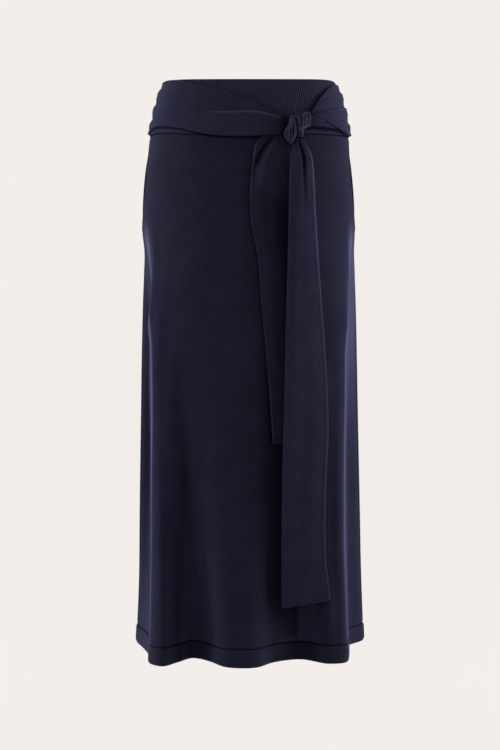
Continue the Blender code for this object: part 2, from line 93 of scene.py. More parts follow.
# %% The folds' plans at three levels
# Each point is (across, ahead) in millimetres, all round from the left side seam along the front
# and back along the back. The same place in each list is the same fold, so a fold keeps its line
# down the skirt while it grows.
Plan = namedtuple("Plan", "drop front back")
PLANS = (
    Plan(380,
         ((-166.8, -6), (-153, 7), (-144, 28), (-145, 52), (-150, 73), (-141, 86), (-124, 94), (-103, 99.5),
          (-72, 106), (-38, 110.5), (0, 111.5), (34, 110.5), (72, 105.5), (110, 96.5), (131, 88),
          (145.5, 74), (148.5, 24)),
         ((166.2, -8), (161.6, -43), (141, -77.5), (98, -106), (50, -117.5), (-2, -119.5), (-54, -116.5),
          (-100, -105), (-141, -77.5), (-159.4, -48), (-165.9, -26))),
    Plan(560,
         ((-168.7, -6), (-154, -1), (-141, 22), (-140, 56), (-147.5, 89), (-136, 104), (-120, 107.5),
          (-100, 100), (-76, 106), (-50, 114.5), (-8, 114.5), (30, 110), (74, 92), (113, 98), (134, 95),
          (143, 81), (147.5, 18)),
         ((168.5, -12), (164.4, -66), (139, -104), (95, -92), (47, -124), (-2, -102), (-54, -126),
          (-99, -92), (-140, -104), (-161.2, -68), (-168.8, -28))),
    Plan(874,
         ((-177, -12), (-170, 10), (-160, 38), (-150, 76), (-147.5, 110), (-131, 123), (-108, 102), (-86, 79),
          (-58, 99), (-34, 128), (8, 130), (36, 102), (77, 86), (120, 109.5), (142.5, 104),
          (148.5, 76), (153, 12)),
         ((179, -24), (164.5, -74), (137, -119), (93, -86), (46, -138), (-2, -94), (-54, -140),
          (-99, -84), (-141, -116), (-166, -76), (-177.5, -38))),
)
FOLDS_START = 228 * MM
print(len(PLANS[0].front) + len(PLANS[0].back), "points round each plan")


# %% Smooth curves through a table's rows
def curve_between(at, knots, values, slopes):
    """Values on the smooth curve that passes the knots with these slopes."""
    i = np.clip(np.searchsorted(knots, at) - 1, 0, len(knots) - 2)
    width = knots[i + 1] - knots[i]
    s = np.clip((at - knots[i]) / width, 0, 1)
    return (values[i] * (1 + 2 * s) * (1 - s) ** 2 + slopes[i] * width * s * (1 - s) ** 2
            + values[i + 1] * s * s * (3 - 2 * s) + slopes[i + 1] * width * s * s * (s - 1))


def smooth_table(at, knots, values):
    knots, values = np.asarray(knots, float), np.asarray(values, float)
    return curve_between(at, knots, values, np.gradient(values, knots))


def column(table, name):
    return [getattr(row, name) for row in table]


# %% A step, a hump, and places along a line
def smoothstep(value):
    """0 up to 0, 1 from 1 on, and a soft rise between."""
    s = np.clip(value, 0, 1)
    return s * s * (3 - 2 * s)


def hump(off, width=1.0):
    """1 in the middle, and next to nothing two widths off."""
    return np.exp(-(off / width) ** 2)


def lengths_along(points):
    steps = np.linalg.norm(np.diff(points, axis=0), axis=1)
    return np.concatenate([[0], np.cumsum(steps)])


def evenly(points, shares):
    """Points at these shares of a line's length."""
    along = lengths_along(points[:, :2])
    return np.stack([np.interp(shares * along[-1], along, points[:, k])
                     for k in range(points.shape[1])], axis=1)


half_way = smooth_table(437, column(SECTIONS, "drop"), column(SECTIONS, "half_width"))
print("half way down the form is", round(float(half_way)), "mm to a side")


# %% One level of the form
def half_oval(half_width, depth, squareness, shares):
    angle = np.linspace(-math.pi / 2, math.pi / 2, 241)
    radius = (np.abs(np.sin(angle) / half_width) ** squareness
              + np.abs(np.cos(angle) / depth) ** squareness) ** (-1 / squareness)
    return evenly(np.stack([radius * np.sin(angle), radius * np.cos(angle)], axis=1), shares)


def oval(side, drop, shares):
    """The form's line at this drop before it is folded, as across and ahead."""
    width, depth, middle, squareness = (
        float(smooth_table(drop / MM, column(SECTIONS, "drop"), column(SECTIONS, name)))
        for name in ("half_width", side, "middle", "squareness"))
    facing = 1 if side == "front" else -1
    return half_oval(width * MM, depth * MM, squareness, shares) * (1, facing) + (middle * MM, 0)


def folded_plan(plan, side):
    """A plan's smooth line between the side seams."""
    loop = np.array(plan.front + plan.back, float) * MM
    loop = np.concatenate([loop[-3:], loop, loop[:4]])
    knots = lengths_along(loop)
    left, right, left_again = 3, 3 + len(plan.front), 3 + len(plan.front) + len(plan.back)
    ends = (left, right) if side == "front" else (left_again, right)
    at = np.interp(np.linspace(*ends, 641), np.arange(len(knots)), knots)
    return np.stack([smooth_table(at, knots, loop[:, k]) for k in range(2)], axis=1)


def between_levels(drop, levels, values):
    """Values at this drop on the smooth curve through the levels, which starts flat."""
    slopes = np.gradient(values, levels, axis=0)
    slopes[0] = 0
    return curve_between(drop, levels, values, slopes)


def form_rows(side, drops, shares):
    """The form at these levels, folds included."""
    levels = np.array([FOLDS_START] + [plan.drop * MM for plan in PLANS])
    lines = [folded_plan(plan, side) for plan in PLANS]
    places = [lengths_along(line) / lengths_along(line)[-1] for line in lines]
    moves = [line - oval(side, plan.drop * MM, place) for line, place, plan in zip(lines, places, PLANS)]
    places, moves = np.stack(places[:1] + places), np.stack([moves[0] * 0] + moves)
    rows = []
    for drop in drops:
        line = oval(side, drop, between_levels(drop, levels, places)) + between_levels(drop, levels, moves)
        even = evenly(line, shares)
        rows.append(np.stack([even[:, 0], -even[:, 1], np.full(len(shares), -drop)], axis=1))
    return np.stack(rows)


# %% The form itself
class Form:
    """The front or the back of the form, sampled once: points and outward normals."""

    def __init__(self, side):
        self.side = side
        self.drops = np.linspace(0, LENGTH, 260)
        self.shares = np.linspace(0, 1, 401)
        self.points = form_rows(side, self.drops, self.shares)
        down = np.gradient(self.points, self.drops, axis=0)
        along = np.gradient(self.points, self.shares, axis=1)
        outward = np.cross(down, along) if side == "front" else np.cross(along, down)
        self.normals = outward / np.linalg.norm(outward, axis=2, keepdims=True)
        self.widths = np.linalg.norm(np.diff(self.points, axis=1), axis=2).sum(axis=1)

    def at(self, drop, share, lift=0.0):
        drop, share, lift = np.broadcast_arrays(drop, share, lift)
        row = np.clip(drop / LENGTH, 0, 1) * (len(self.drops) - 1)
        col = np.clip(share, 0, 1) * (len(self.shares) - 1)
        r = np.minimum(row.astype(int), len(self.drops) - 2)
        c = np.minimum(col.astype(int), len(self.shares) - 2)
        fr, fc = (row - r)[..., None], (col - c)[..., None]

        def mix(table):
            return ((table[r, c] * (1 - fc) + table[r, c + 1] * fc) * (1 - fr)
                    + (table[r + 1, c] * (1 - fc) + table[r + 1, c + 1] * fc) * fr)

        return mix(self.points) + mix(self.normals) * lift[..., None]

    def width(self, drop):
        """The length from side seam to side seam at these drops."""
        return np.interp(drop, self.drops, self.widths)


forms = {side: Form(side) for side in ("front", "back")}
for side, form in forms.items():
    print(side, "seam to seam:", [round(float(form.width(d * MM)) * 1000) for d in (0, 80, 230, 874)],
          "mm at the waist, under the band, at the hip and at the hem")

# %% [markdown]
# ## Colours and the one helper for nodes
#
# Dyed wool or cotton knit is matt and slightly hairy. Short fibres stand off the yarn and catch
# light that comes from the side or from behind, so the outline of a dark knit looks paler than
# its middle. The Principled shader's sheen does that. The colours are written as hex values, as
# a dyer's chart has them, and one function turns them to the linear numbers of a shader.


# %% Colour and node helpers
def linear(hex_colour):
    parts = [int(hex_colour[i:i + 2], 16) / 255 for i in (1, 3, 5)]
    return tuple(p / 12.92 if p <= 0.04045 else ((p + 0.055) / 1.055) ** 2.4 for p in parts) + (1,)


def add(tree, kind, links=None, **settings):
    """Adds a node, sets it, and links or fills its inputs."""
    node = tree.nodes.new(kind)
    for name, value in settings.items():
        setattr(node, name, value)
    for socket, value in (links or {}).items():
        if isinstance(value, bpy.types.NodeSocket):
            tree.links.new(value, node.inputs[socket])
        else:
            node.inputs[socket].default_value = value
    return node


print("middle grey is", [round(part, 3) for part in linear("#808080")[:3]], "in linear light")

# %% [markdown]
# ## The plain knit
#
# Fine jersey is columns of small V-shaped stitches, called wales, and each row of them is a
# course. In the real cloth a wale is about 1.4 mm wide, which is finer than a pixel here, so it
# is drawn 2.2 mm wide and 1.8 mm high to show at all. The pattern needs no picture: the
# distance from the middle of a wale bends each course into a V, and a sine makes its loop round.
# Two noises break the rows up, as uneven yarn does. The cloth's own UV map is in metres, so the
# stitches keep their size and follow each piece's grain.
#
# Each piece also carries a layer of its own, of painted light and shade. Above 0 it is painted
# shade: the cloth is drawn deep, with less sheen, at seams, in folds and grooves, and where it lies
# out of the light. Below 0 it is a painted highlight, and the cloth is drawn pale.

# %% Stitch sizes and dye colours
WALE, COURSE = 2.2 * MM, 1.8 * MM
YARN_BLOBS, WASH_BANDS = 3 * MM, 38 * MM  # thick and thin places in the yarn, and soft bands
WASH_TONES = (0.88, 0.88, 0.9, 1), (1.1, 1.1, 1.09, 1)  # the bands multiply the dye by these
NAVY_DEEP, NAVY, NAVY_PALE = "#212132", "#28283B", "#32324B"
SASH_DEEP, SASH_PALE = "#262638", "#393955"  # a paler copy of the knit, painted lighter on the ties, the knot and the long end
RIB_DEEP, RIB_PALE = "#313147", "#474765"
# painted shade: the near-black that the layer draws the cloth towards
PAINTED_SHADE = "#0A0A12"
PAINTED_HIGHLIGHT = "#8080B8"  # painted highlight: the pale colour the layer draws fold crests and edges towards
FIBRE_TIPS = "#BABDFF"  # the pale bloom of loose fibres at a grazing angle
GLOSS = 0.1  # matt fibres hardly shine


# %% What both knits begin with
def start_knit(name, deep, pale):
    """A material with the cloth's own map, uneven yarn, and the yarn's two tones."""
    made = bpy.data.materials.new(name)
    made.use_nodes = True
    tree = made.node_tree
    uv = add(tree, "ShaderNodeUVMap", uv_map="cloth").outputs["UV"]
    yarn = add(tree, "ShaderNodeTexNoise", {"Vector": uv, "Scale": 1 / YARN_BLOBS, "Detail": 3.0,
                                            "Roughness": 0.7}).outputs["Fac"]
    heather = add(tree, "ShaderNodeValToRGB", {"Fac": yarn})
    for tone, place, colour in zip(heather.color_ramp.elements, (0.28, 0.72), (deep, pale)):
        tone.position, tone.color = place, linear(colour)
    shade = add(tree, "ShaderNodeAttribute", attribute_name="painted_shade_and_light").outputs["Fac"]
    return made, uv, yarn, heather.outputs["Color"], shade


# %% And what both end with
def finish_knit(tree, colour, shade, bloom_most, height, relief, strength):
    """Painted shade from the layer, which darkens the colour and takes the sheen away; and the relief."""
    shader = tree.nodes["Principled BSDF"]
    shaded = add(tree, "ShaderNodeMix", {"Factor": shade, 6: colour, 7: linear(PAINTED_SHADE)},
                 data_type="RGBA").outputs[2]
    tree.links.new(shaded, shader.inputs["Base Color"])
    bump = add(tree, "ShaderNodeBump", {"Height": height, "Distance": relief, "Strength": strength})
    tree.links.new(bump.outputs["Normal"], shader.inputs["Normal"])
    bloom = add(tree, "ShaderNodeMath", {0: bloom_most, 1: shade}, operation="SUBTRACT",
                use_clamp=True).outputs[0]
    tree.links.new(bloom, shader.inputs["Sheen Weight"])
    shader.inputs["Sheen Roughness"].default_value = 0.3
    shader.inputs["Sheen Tint"].default_value = linear(FIBRE_TIPS)
    shader.inputs["IOR"].default_value = 1.45
    return shader, bloom


# %% Plain jersey knit
def jersey_knit(name, deep, pale):
    made, uv, yarn, heather, shade = start_knit(name, deep, pale)
    tree = made.node_tree
    place = add(tree, "ShaderNodeSeparateXYZ", {0: uv})
    wale = add(tree, "ShaderNodeMath", {0: place.outputs["X"], 1: WALE}, operation="DIVIDE").outputs[0]
    across = add(tree, "ShaderNodeMath", {0: wale, 1: 0.5}, operation="PINGPONG").outputs[0]
    slant = add(tree, "ShaderNodeMath", {0: across, 1: 1.5}, operation="MULTIPLY").outputs[0]
    course = add(tree, "ShaderNodeMath", {0: place.outputs["Y"], 1: COURSE}, operation="DIVIDE").outputs[0]
    bent = add(tree, "ShaderNodeMath", {0: course, 1: slant}, operation="ADD").outputs[0]
    turns = add(tree, "ShaderNodeMath", {0: bent, 1: 2 * math.pi}, operation="MULTIPLY").outputs[0]
    loop = add(tree, "ShaderNodeMath", {0: turns}, operation="SINE").outputs[0]
    ridge = add(tree, "ShaderNodeMath", {0: across, 1: -1.1, 2: 0.9}, operation="MULTIPLY_ADD").outputs[0]
    stitch = add(tree, "ShaderNodeMath", {0: loop, 1: 0.3, 2: ridge}, operation="MULTIPLY_ADD").outputs[0]
    height = add(tree, "ShaderNodeMath", {0: yarn, 1: 2.2, 2: stitch}, operation="MULTIPLY_ADD").outputs[0]
    wash = add(tree, "ShaderNodeTexNoise", {"Vector": uv, "Scale": 1 / WASH_BANDS, "Detail": 3.0,
                                            "Roughness": 0.55}).outputs["Fac"]
    tint = add(tree, "ShaderNodeValToRGB", {"Fac": wash})
    for tone, at, colour in zip(tint.color_ramp.elements, (0.3, 0.7), WASH_TONES):
        tone.position, tone.color = at, colour
    dyed = add(tree, "ShaderNodeMix", {"Factor": 1.0, 6: heather, 7: tint.outputs["Color"]},
               data_type="RGBA", blend_type="MULTIPLY").outputs[2]
    # painted highlight: below 0 the layer draws the colour towards pale
    painted_highlight = add(tree, "ShaderNodeMath", {0: shade, 1: -1.0}, operation="MULTIPLY",
                    use_clamp=True).outputs[0]
    highlighted = add(tree, "ShaderNodeMix", {"Factor": painted_highlight, 6: dyed, 7: linear(PAINTED_HIGHLIGHT)},
                 data_type="RGBA").outputs[2]
    shader, bloom = finish_knit(tree, highlighted, shade, 1.0, height, 0.35 * MM, 0.8)
    gloss = add(tree, "ShaderNodeMath", {0: bloom, 1: GLOSS}, operation="MULTIPLY").outputs[0]
    tree.links.new(gloss, shader.inputs["Specular IOR Level"])
    rough = add(tree, "ShaderNodeMapRange", {"Value": yarn, "To Min": 0.82, "To Max": 0.95}).outputs[0]
    tree.links.new(rough, shader.inputs["Roughness"])
    made.diffuse_color = linear(NAVY)
    return made


panel_knit = jersey_knit("navy_jersey_knit", NAVY_DEEP, NAVY_PALE)
sash_knit = jersey_knit("navy_sash_knit", SASH_DEEP, SASH_PALE)
print(panel_knit.name, "has", len(panel_knit.node_tree.nodes), "nodes")

# %% [markdown]
# ## The rib knit
#
# A rib is knit and purl wales in turn, so it stands in round ridges with grooves between them,
# and springs back at the waist. The ridges are modelled, because they show on the edge as well.
# The material only adds the courses, short bars across each ridge. Its yarn is a little paler,
# because the grooves hold shadow that the plain knit doesn't have.


# %% Rib knit
def rib_knit(name):
    made, uv, yarn, heather, shade = start_knit(name, RIB_DEEP, RIB_PALE)
    tree = made.node_tree
    place = add(tree, "ShaderNodeSeparateXYZ", {0: uv})
    turns = add(tree, "ShaderNodeMath", {0: place.outputs["Y"], 1: 2 * math.pi / COURSE},
                operation="MULTIPLY").outputs[0]
    course = add(tree, "ShaderNodeMath", {0: turns}, operation="SINE").outputs[0]
    height = add(tree, "ShaderNodeMath", {0: course, 1: 0.3, 2: yarn}, operation="MULTIPLY_ADD").outputs[0]
    shader, _ = finish_knit(tree, heather, shade, 0.9, height, 0.3 * MM, 0.7)
    shader.inputs["Specular IOR Level"].default_value = GLOSS
    shader.inputs["Roughness"].default_value = 0.9
    made.diffuse_color = linear(RIB_DEEP)
    return made


band_knit = rib_knit("navy_rib_knit")
print(band_knit.name, "has", len(band_knit.node_tree.nodes), "nodes")

# %% [markdown]
# ## Laying a flat grid on the form
#
# A cutter starts from a flat rectangle of cloth, and so does each sheet here: create_grid makes
# it, and its points are moved to their places on the form. Its UV map keeps the flat sizes in
# metres, as the cloth does. A Solidify modifier then gives the wall, inwards, so the outside
# stays where it was laid.


# %% From a bmesh to a piece of the scene
def as_object(name, mesh, material):
    data = bpy.data.meshes.new(name)
    mesh.to_mesh(data)
    mesh.free()
    data.materials.append(material)
    made = bpy.data.objects.new(name, data)
    bpy.context.scene.collection.objects.link(made)
    return made


def dress(piece, *nodes, slot):
    """The piece stands for these solids and hangs with the skirt; its slot is not used."""
    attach(piece, "root")
    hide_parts(*nodes)
    print(piece.name, "has", len(piece.data.polygons), "faces and stands for", ", ".join(nodes))


# %% Cloth sheet
def cloth_sheet(name, places, across, down, material, thickness, turned, shade):
    rows, columns = places.shape[:2]
    mesh = bmesh.new()
    bmesh.ops.create_grid(mesh, x_segments=columns - 1, y_segments=rows - 1, size=1)
    across, down, shade = (np.broadcast_to(a, (rows, columns)).ravel() for a in (across, down, shade))
    # the layer of painted shade (above 0) and painted highlight (below 0) at each point
    seam = mesh.verts.layers.float.new("painted_shade_and_light")
    for vert, place, vert_shade in zip(mesh.verts, places.reshape(-1, 3), shade):
        vert.co = place
        vert[seam] = float(vert_shade)
    uv = mesh.loops.layers.uv.new("cloth")
    mesh.verts.index_update()
    for face in mesh.faces:
        face.smooth = True
        for loop in face.loops:
            k = loop.vert.index
            loop[uv].uv = (across[k], down[k])
    if turned:
        bmesh.ops.reverse_faces(mesh, faces=mesh.faces[:])
    made = as_object(name, mesh, material)
    wall = made.modifiers.new("wall", "SOLIDIFY")
    wall.thickness, wall.offset, wall.use_rim, wall.use_even_offset = thickness, -1, True, False
    return made


print("the tools for cloth are ready")

# %% [markdown]
# ## Soft troughs and ridges
#
# Hanging knit is never as smooth as its pattern. It keeps soft troughs where it was folded, where
# the hips stretch it and where a seam holds it. Each is a line from one place on the cloth to
# another, with its own width and depth. A minus depth is a trough.

# %% A line of slack or stretch
Wave = namedtuple("Wave", "share drop to_share to_drop width depth")


def waves_lift(waves, share, drop, across):
    """How far the waves lift these places, in metres. across is the cloth's width there."""
    lift = np.zeros(np.broadcast(share, drop).shape)
    for w in waves:
        t = (drop / MM - w.drop) / (w.to_drop - w.drop)
        middle = w.share + (w.to_share - w.share) * t
        side = (share - middle) * across / MM / w.width
        lift += w.depth * MM * hump(side) * smoothstep(t / 0.3) * smoothstep((1 - t) / 0.18)
    return lift


FRONT_WAVES = (
    Wave(0.15, 205, 0.178, 404, 10, 3.0),
    Wave(0.24, 250, 0.285, 860, 13, -1.8),
    Wave(0.33, 180, 0.36, 640, 22, 0.8),
    Wave(0.47, 380, 0.45, 820, 20, 0.6),
    Wave(0.60, 300, 0.585, 870, 15, -1.2),
    Wave(0.88, 160, 0.86, 520, 15, 0.8),
    Wave(0.42, 120, 0.50, 330, 26, -0.5),
    Wave(0.70, 420, 0.71, 860, 12, 0.8),
)
BACK_WAVES = (
    Wave(0.10, 130, 0.14, 430, 15, 0.7),
    Wave(0.27, 240, 0.22, 860, 15, -1.4),
    Wave(0.38, 150, 0.42, 600, 24, 0.8),
    Wave(0.52, 260, 0.50, 820, 17, -1.1),
    Wave(0.66, 200, 0.69, 700, 20, 0.9),
    Wave(0.80, 320, 0.83, 860, 14, -1.3),
    Wave(0.91, 140, 0.88, 480, 15, 0.7),
)
print(len(FRONT_WAVES) + len(BACK_WAVES), "soft waves on the panels")

# %% [markdown]
# ## Where the sash lies
#
# The sash presses on the cloth under it, and a shadow is painted just under its lower edge, so that
# edge is needed first. Each tie is a long strip, about 72 mm wide. Its end is laid in small pleats
# and caught in the side seam. Towards the knot it doubles over itself: the lower part comes forward
# along a fold, and its upper edge runs down behind it. A station gives the place of the top edge,
# the fold and the bottom edge at one share of the front, in millimetres below the waist.

# %% Stations of the two ties
Station = namedtuple("Station", "share top fold bottom proud lift")
LEFT_SASH = (
    Station(0.001, 1, 39, 78.6, 0.0, 2.4),
    Station(0.03, 1, 38, 76, 0.0, 2.7),
    Station(0.07, 1, 36, 73, 0.0, 3.2),
    Station(0.12, 1, 36, 70, 0.4, 3.4),
    Station(0.175, 1.5, 38, 70.4, 1.0, 3.4),
    Station(0.235, 3.5, 44, 73.6, 0.7, 3.4),
    Station(0.30, 9, 47.5, 79.4, 1.6, 3.4),
    Station(0.352, 13.5, 48.8, 84.6, 3.2, 3.6),
    Station(0.405, 18.5, 49.2, 87, 3.6, 4.0),
    Station(0.46, 26, 49, 87.7, 3.8, 4.8),
    Station(0.51, 35, 49.2, 87.7, 3.6, 6.0),
    Station(0.55, 44.5, 51, 87.4, 3.0, 6.4),
    Station(0.585, 51.5, 54.8, 86.6, 2.0, 6.4),
    Station(0.63, 57, 60, 84, 1.0, 4.6),
    Station(0.69, 60, 64, 80, 0.4, 3.6),
)
RIGHT_SASH = (
    Station(0.695, 58, 62, 76, 0.4, 3.6),
    Station(0.722, 52, 56.5, 72, 0.8, 5.4),
    Station(0.751, 37, 52.4, 72.4, 1.2, 6.4),
    Station(0.777, 25.2, 50, 73.4, 1.6, 6.2),
    Station(0.81, 15.6, 47, 74, 2.0, 5.4),
    Station(0.85, 10, 44, 76.6, 2.2, 4.6),
    Station(0.89, 7, 41.6, 79.4, 1.8, 4.0),
    Station(0.93, 5.2, 40.4, 80.4, 1.0, 3.4),
    Station(0.97, 4.4, 39, 80.4, 0.4, 2.8),
    Station(0.999, 4, 38.5, 80.4, 0.0, 2.5),
)
print(len(LEFT_SASH), "and", len(RIGHT_SASH), "stations")

# %% The two hanging ends, whose edges are given across and ahead in millimetres at each drop
Hang = namedtuple("Hang", "drop left right ahead_left ahead_right bow cleft cleft_at")
LONG_TAIL = (
    Hang(85, 70, 78, 105, 105, 0.4, 0.4, 0.45),
    Hang(88.5, 67, 81, 107, 107, 0.6, 0.6, 0.45),
    Hang(98, 65, 85.5, 107, 106.6, 1.5, 2.5, 0.48),
    Hang(104, 63.3, 88.5, 108.5, 107.5, 3.5, 4.5, 0.52),
    Hang(113, 61.1, 92.3, 110, 108.2, 5.5, 5.0, 0.57),
    Hang(122, 60.3, 94.8, 110.4, 107.3, 6.3, 4.0, 0.58),
    Hang(134, 59.5, 96, 112, 106.5, 6.5, 3.0, 0.58),
    Hang(158, 58.7, 97.7, 114, 105.8, 6.0, 1.6, 0.58),
    Hang(190, 58, 99, 116, 105.5, 5.0, 0.6, 0.58),
    Hang(268, 56.4, 103.5, 119, 105, 3.5, 0, 0.58),
    Hang(370, 53.4, 111, 121.5, 104.5, 2.5, 0, 0.58),
    Hang(458, 51.8, 116.6, 123, 104.5, 2.0, 0, 0.58),
    Hang(524, 49.8, 118.4, 122, 105.5, 1.6, 0, 0.58),
    Hang(600, 48.2, 115, 120.5, 107.5, 1.8, 0, 0.58),
    Hang(660, 47.6, 113.7, 118.5, 109, 2.0, 0, 0.58),
    Hang(720, 47, 114.6, 118.5, 110.5, 1.6, 0, 0.58),
    Hang(784, 47, 121, 118.5, 112.5, 0.6, 0, 0.58),
)
SHORT_TAIL = (
    Hang(81, 27, 60, 103.0, 100.0, 0.3, 0.2, 0.44),
    Hang(84, 24, 60, 103.6, 100.6, 0.4, 0.3, 0.44),
    Hang(90, 16.5, 60, 104.4, 101.4, 0.8, 1.4, 0.41),
    Hang(97, 9.8, 60.5, 106.5, 102.5, 1.5, 2.8, 0.34),
    Hang(106, 6.8, 60.7, 108, 103.5, 2.6, 3.2, 0.25),
    Hang(118, 5, 61, 109.6, 104.4, 3.0, 3.0, 0.16),
    Hang(132, 3.4, 62, 110.2, 105.2, 3.0, 1.6, 0.10),
    Hang(160, 0.5, 64, 111, 106, 2.4, 0.4, 0.05),
    Hang(204, 1, 67, 114, 106.5, 1.6, 0, 0.05),
    Hang(270, 12, 78, 117, 106.5, 1.2, 0, 0.05),
    Hang(320, 16, 84, 118, 107, 1.0, 0, 0.05),
    Hang(430, 26, 96, 118, 105, 0.8, 0, 0.05),
    Hang(546, 34.5, 106, 117, 103.6, 0.6, 0, 0.05),
)
print(len(LONG_TAIL), "and", len(SHORT_TAIL), "levels of the hanging ends")


# %% What the sash and the waist do to the cloth under and round them
def under_sash_line(share, drop):
    """1 along the line just under the sash's lower edge, where it presses on the cloth: a painted shadow goes
    there.
    """
    edges = LEFT_SASH[:-2] + RIGHT_SASH[2:]
    lower = smooth_table(share, [row.share for row in edges], [row.bottom for row in edges])
    deeper = 1 + 0.9 * hump(share - 0.77, 0.06)
    return hump(drop / MM - lower - 1.0, 1.2 * deeper)


def rim_rise(side, share, drop):
    """How far the waist's edge rises towards the hips, in metres."""
    front = smooth_table(share, (0, 0.05, 0.12, 0.2, 0.3, 0.5, 0.7, 0.8, 0.88, 0.95, 1),
                         (1.6, 2.4, 3.2, 2.2, 0.8, 0, 0.8, 2.4, 3.4, 2.6, 1.6))
    back = 1.6 * (1 - smoothstep(np.minimum(share, 1 - share) / 0.3))
    return (front if side == "front" else back) * MM * (1 - smoothstep(drop / (24 * MM)))


print("the edge rises", round(float(rim_rise("front", 0.1, 0)) * 1000, 1), "mm near the left hip")

# %% [markdown]
# ## The front and back panels
#
# Each panel is knitted to shape, with its sides widening to the hem. The front panel's upper
# corners are cut away in a slow curve, which leaves the pocket mouths open at the side seams.
# A mouth's edge is turned and stitched down, so it is a little thicker, with a stitch line 9.5 mm
# in. Towards each seam the cloth dips in.

# %% The pocket mouths' edge
POCKET_TOP, POCKET_MOUTH_END, POCKET_GAPE = 81 * MM, 228 * MM, 36 * MM


def pocket_inset(drop):
    along = np.clip((drop - POCKET_TOP) / (POCKET_MOUTH_END - POCKET_TOP), 0, 1)
    return POCKET_GAPE * np.sin(math.pi * along ** 1.1) ** 0.45  # blunt at both ends, as a worn mouth is


print("a mouth gapes", round(float(pocket_inset(150 * MM)) * 1000, 1), "mm at 150 mm down")

# %% The waist seam, which the sash pulls out of level
WAIST_SEAM_SHARES = (0, 0.05, 0.12, 0.20, 0.27, 0.33, 0.50, 0.70, 0.77, 0.85, 0.95, 1)
WAIST_SEAM_LOWER = (3.0, 0, -1.2, -0.4, 2.0, 3.4, 4.0, 3.0, 2.0, 1.9, 2.4, 3.0)  # mm below its level


def waist_seam(side, share, reach):
    """How far down the cloth is pulled, where reach is 1 at the seam and 0 clear of it."""
    if side == "front":
        return smooth_table(share, WAIST_SEAM_SHARES, WAIST_SEAM_LOWER) * MM * reach
    return 3.0 * MM * (1 - smoothstep(np.minimum(share, 1 - share) / 0.08)) * reach


print("the sash pulls the waist seam down by up to", max(WAIST_SEAM_LOWER), "mm")


# %% Painted highlights along the crests of the two side folds
Crest = namedtuple("Crest", "drop left right wide flank")  # shares of the front, a width in millimetres, and how bright the right flank is painted
CRESTS = (
    Crest(200, 0.104, 0.896, 9, 0),
    Crest(241, 0.107, 0.893, 9, 0.28),
    Crest(272, 0.113, 0.889, 6.5, 0.3),
    Crest(302, 0.127, 0.880, 3.6, 0.3),
    Crest(332, 0.150, 0.862, 2.9, 0.33),
    Crest(363, 0.176, 0.839, 2.6, 0.35),
    Crest(408, 0.1985, 0.8155, 2.6, 0.3),
    Crest(446, 0.2094, 0.811, 2.6, 0.2),
    Crest(484, 0.2153, 0.8100, 2.6, 0.12),
    Crest(559, 0.2155, 0.8062, 2.6, 0.03),
    Crest(635, 0.2095, 0.7995, 2.8, 0),
    Crest(711, 0.2030, 0.7890, 3, 0),
    Crest(786, 0.1960, 0.7945, 3.2, 0),
    Crest(874, 0.1875, 0.8030, 3.4, 0),
)
BRIGHTEST_CREST_HIGHLIGHT = 0.62


def painted_crest_highlights(drop, share, width):
    """Painted highlight, 0 to 1, along each side's fold, where the cloth turns from the side to the front."""
    level = drop / MM
    left, right, wide, flank = (smooth_table(level, column(CRESTS, "drop"), column(CRESTS, name))
                                for name in ("left", "right", "wide", "flank"))
    begun = smoothstep((level - 205) / 45)
    past_left, past_right = (share - left) * width / MM, (right - share) * width / MM
    pale = BRIGHTEST_CREST_HIGHLIGHT * begun * (hump(past_left, wide) + hump(past_right, wide))
    # a painted highlight also covers the right side from its crest back to the seam
    side = flank * begun * smoothstep(-past_right / 6) * smoothstep((1 - share) * width / (16 * MM))
    return np.maximum(pale, side)


# %% The panel's painted shadow and painted light beside the hanging ends
def painted_light_by_ends(drop, across):
    """Painted shadow on the panel beside the hanging ends, and painted light where it is below 0."""
    level, at = drop / MM, across / MM
    long_left = np.interp(level, column(LONG_TAIL, "drop"), column(LONG_TAIL, "left"))
    long_right = np.interp(level, column(LONG_TAIL, "drop"), column(LONG_TAIL, "right"))
    short_left = np.interp(level, column(SHORT_TAIL, "drop"), column(SHORT_TAIL, "left"))
    off = np.maximum(long_left - at, 0)
    beside_long = (0.35 * hump(off, 45) + 0.22 * hump(off, 10)) * (at < long_left + 25)
    # painted light: the light is on the other side of the long end
    beside_long = beside_long - 0.08 * hump(at - long_right - 4, 5)
    beside_short = hump(np.maximum(short_left - at, 0), 2.6) * (at < short_left + 25)
    return (beside_long * smoothstep((level - 400) / 60) * smoothstep((850 - level) / 60)
            + 0.6 * beside_short * smoothstep((level - 95) / 20) * smoothstep((548 - level) / 6))


def painted_light_in_troughs(drop, share, ahead):
    """Painted light in the troughs between the front's folds, low down, where light from the floor would
    reach.
    """
    low = smoothstep((drop / MM - 560) / 200)
    behind = smoothstep((106 - ahead / MM) / 16)
    return 0.09 * low * behind * smoothstep((0.38 - np.abs(share - 0.5)) / 0.1)


print("crests and shadows are ready")

# %% The grid of a panel
PANEL_TOP, PANEL_FOOT = WAISTBAND_HEIGHT, LENGTH - HEM_HEIGHT
STITCH_LINE = 9.5  # mm from a mouth's edge


def panel_drops(rows):
    """Levels that are close together at both seams, with two past each as the seam's allowance."""
    near_top = np.array([-1.5, -0.4, 0.3, 1, 2, 3, 4, 5, 6, 7, 8, 9, 10]) * MM
    near_foot = np.array([6.5, 4.2, 2.6, 1.4, 0.5, -0.4, -1.5]) * MM
    count = rows - len(near_top) - len(near_foot)
    between = np.linspace(PANEL_TOP + 12 * MM, PANEL_FOOT - 10 * MM, count)
    return np.concatenate([PANEL_TOP + near_top, between, PANEL_FOOT - near_foot])[:, None]


def panel_shares(columns):
    """Shares that are closer together where the side folds are."""
    even = np.linspace(0, 1, columns)[None, :]
    return even - 0.06 * np.sin(2 * math.pi * even) + 0.03 * np.sin(4 * math.pi * even)


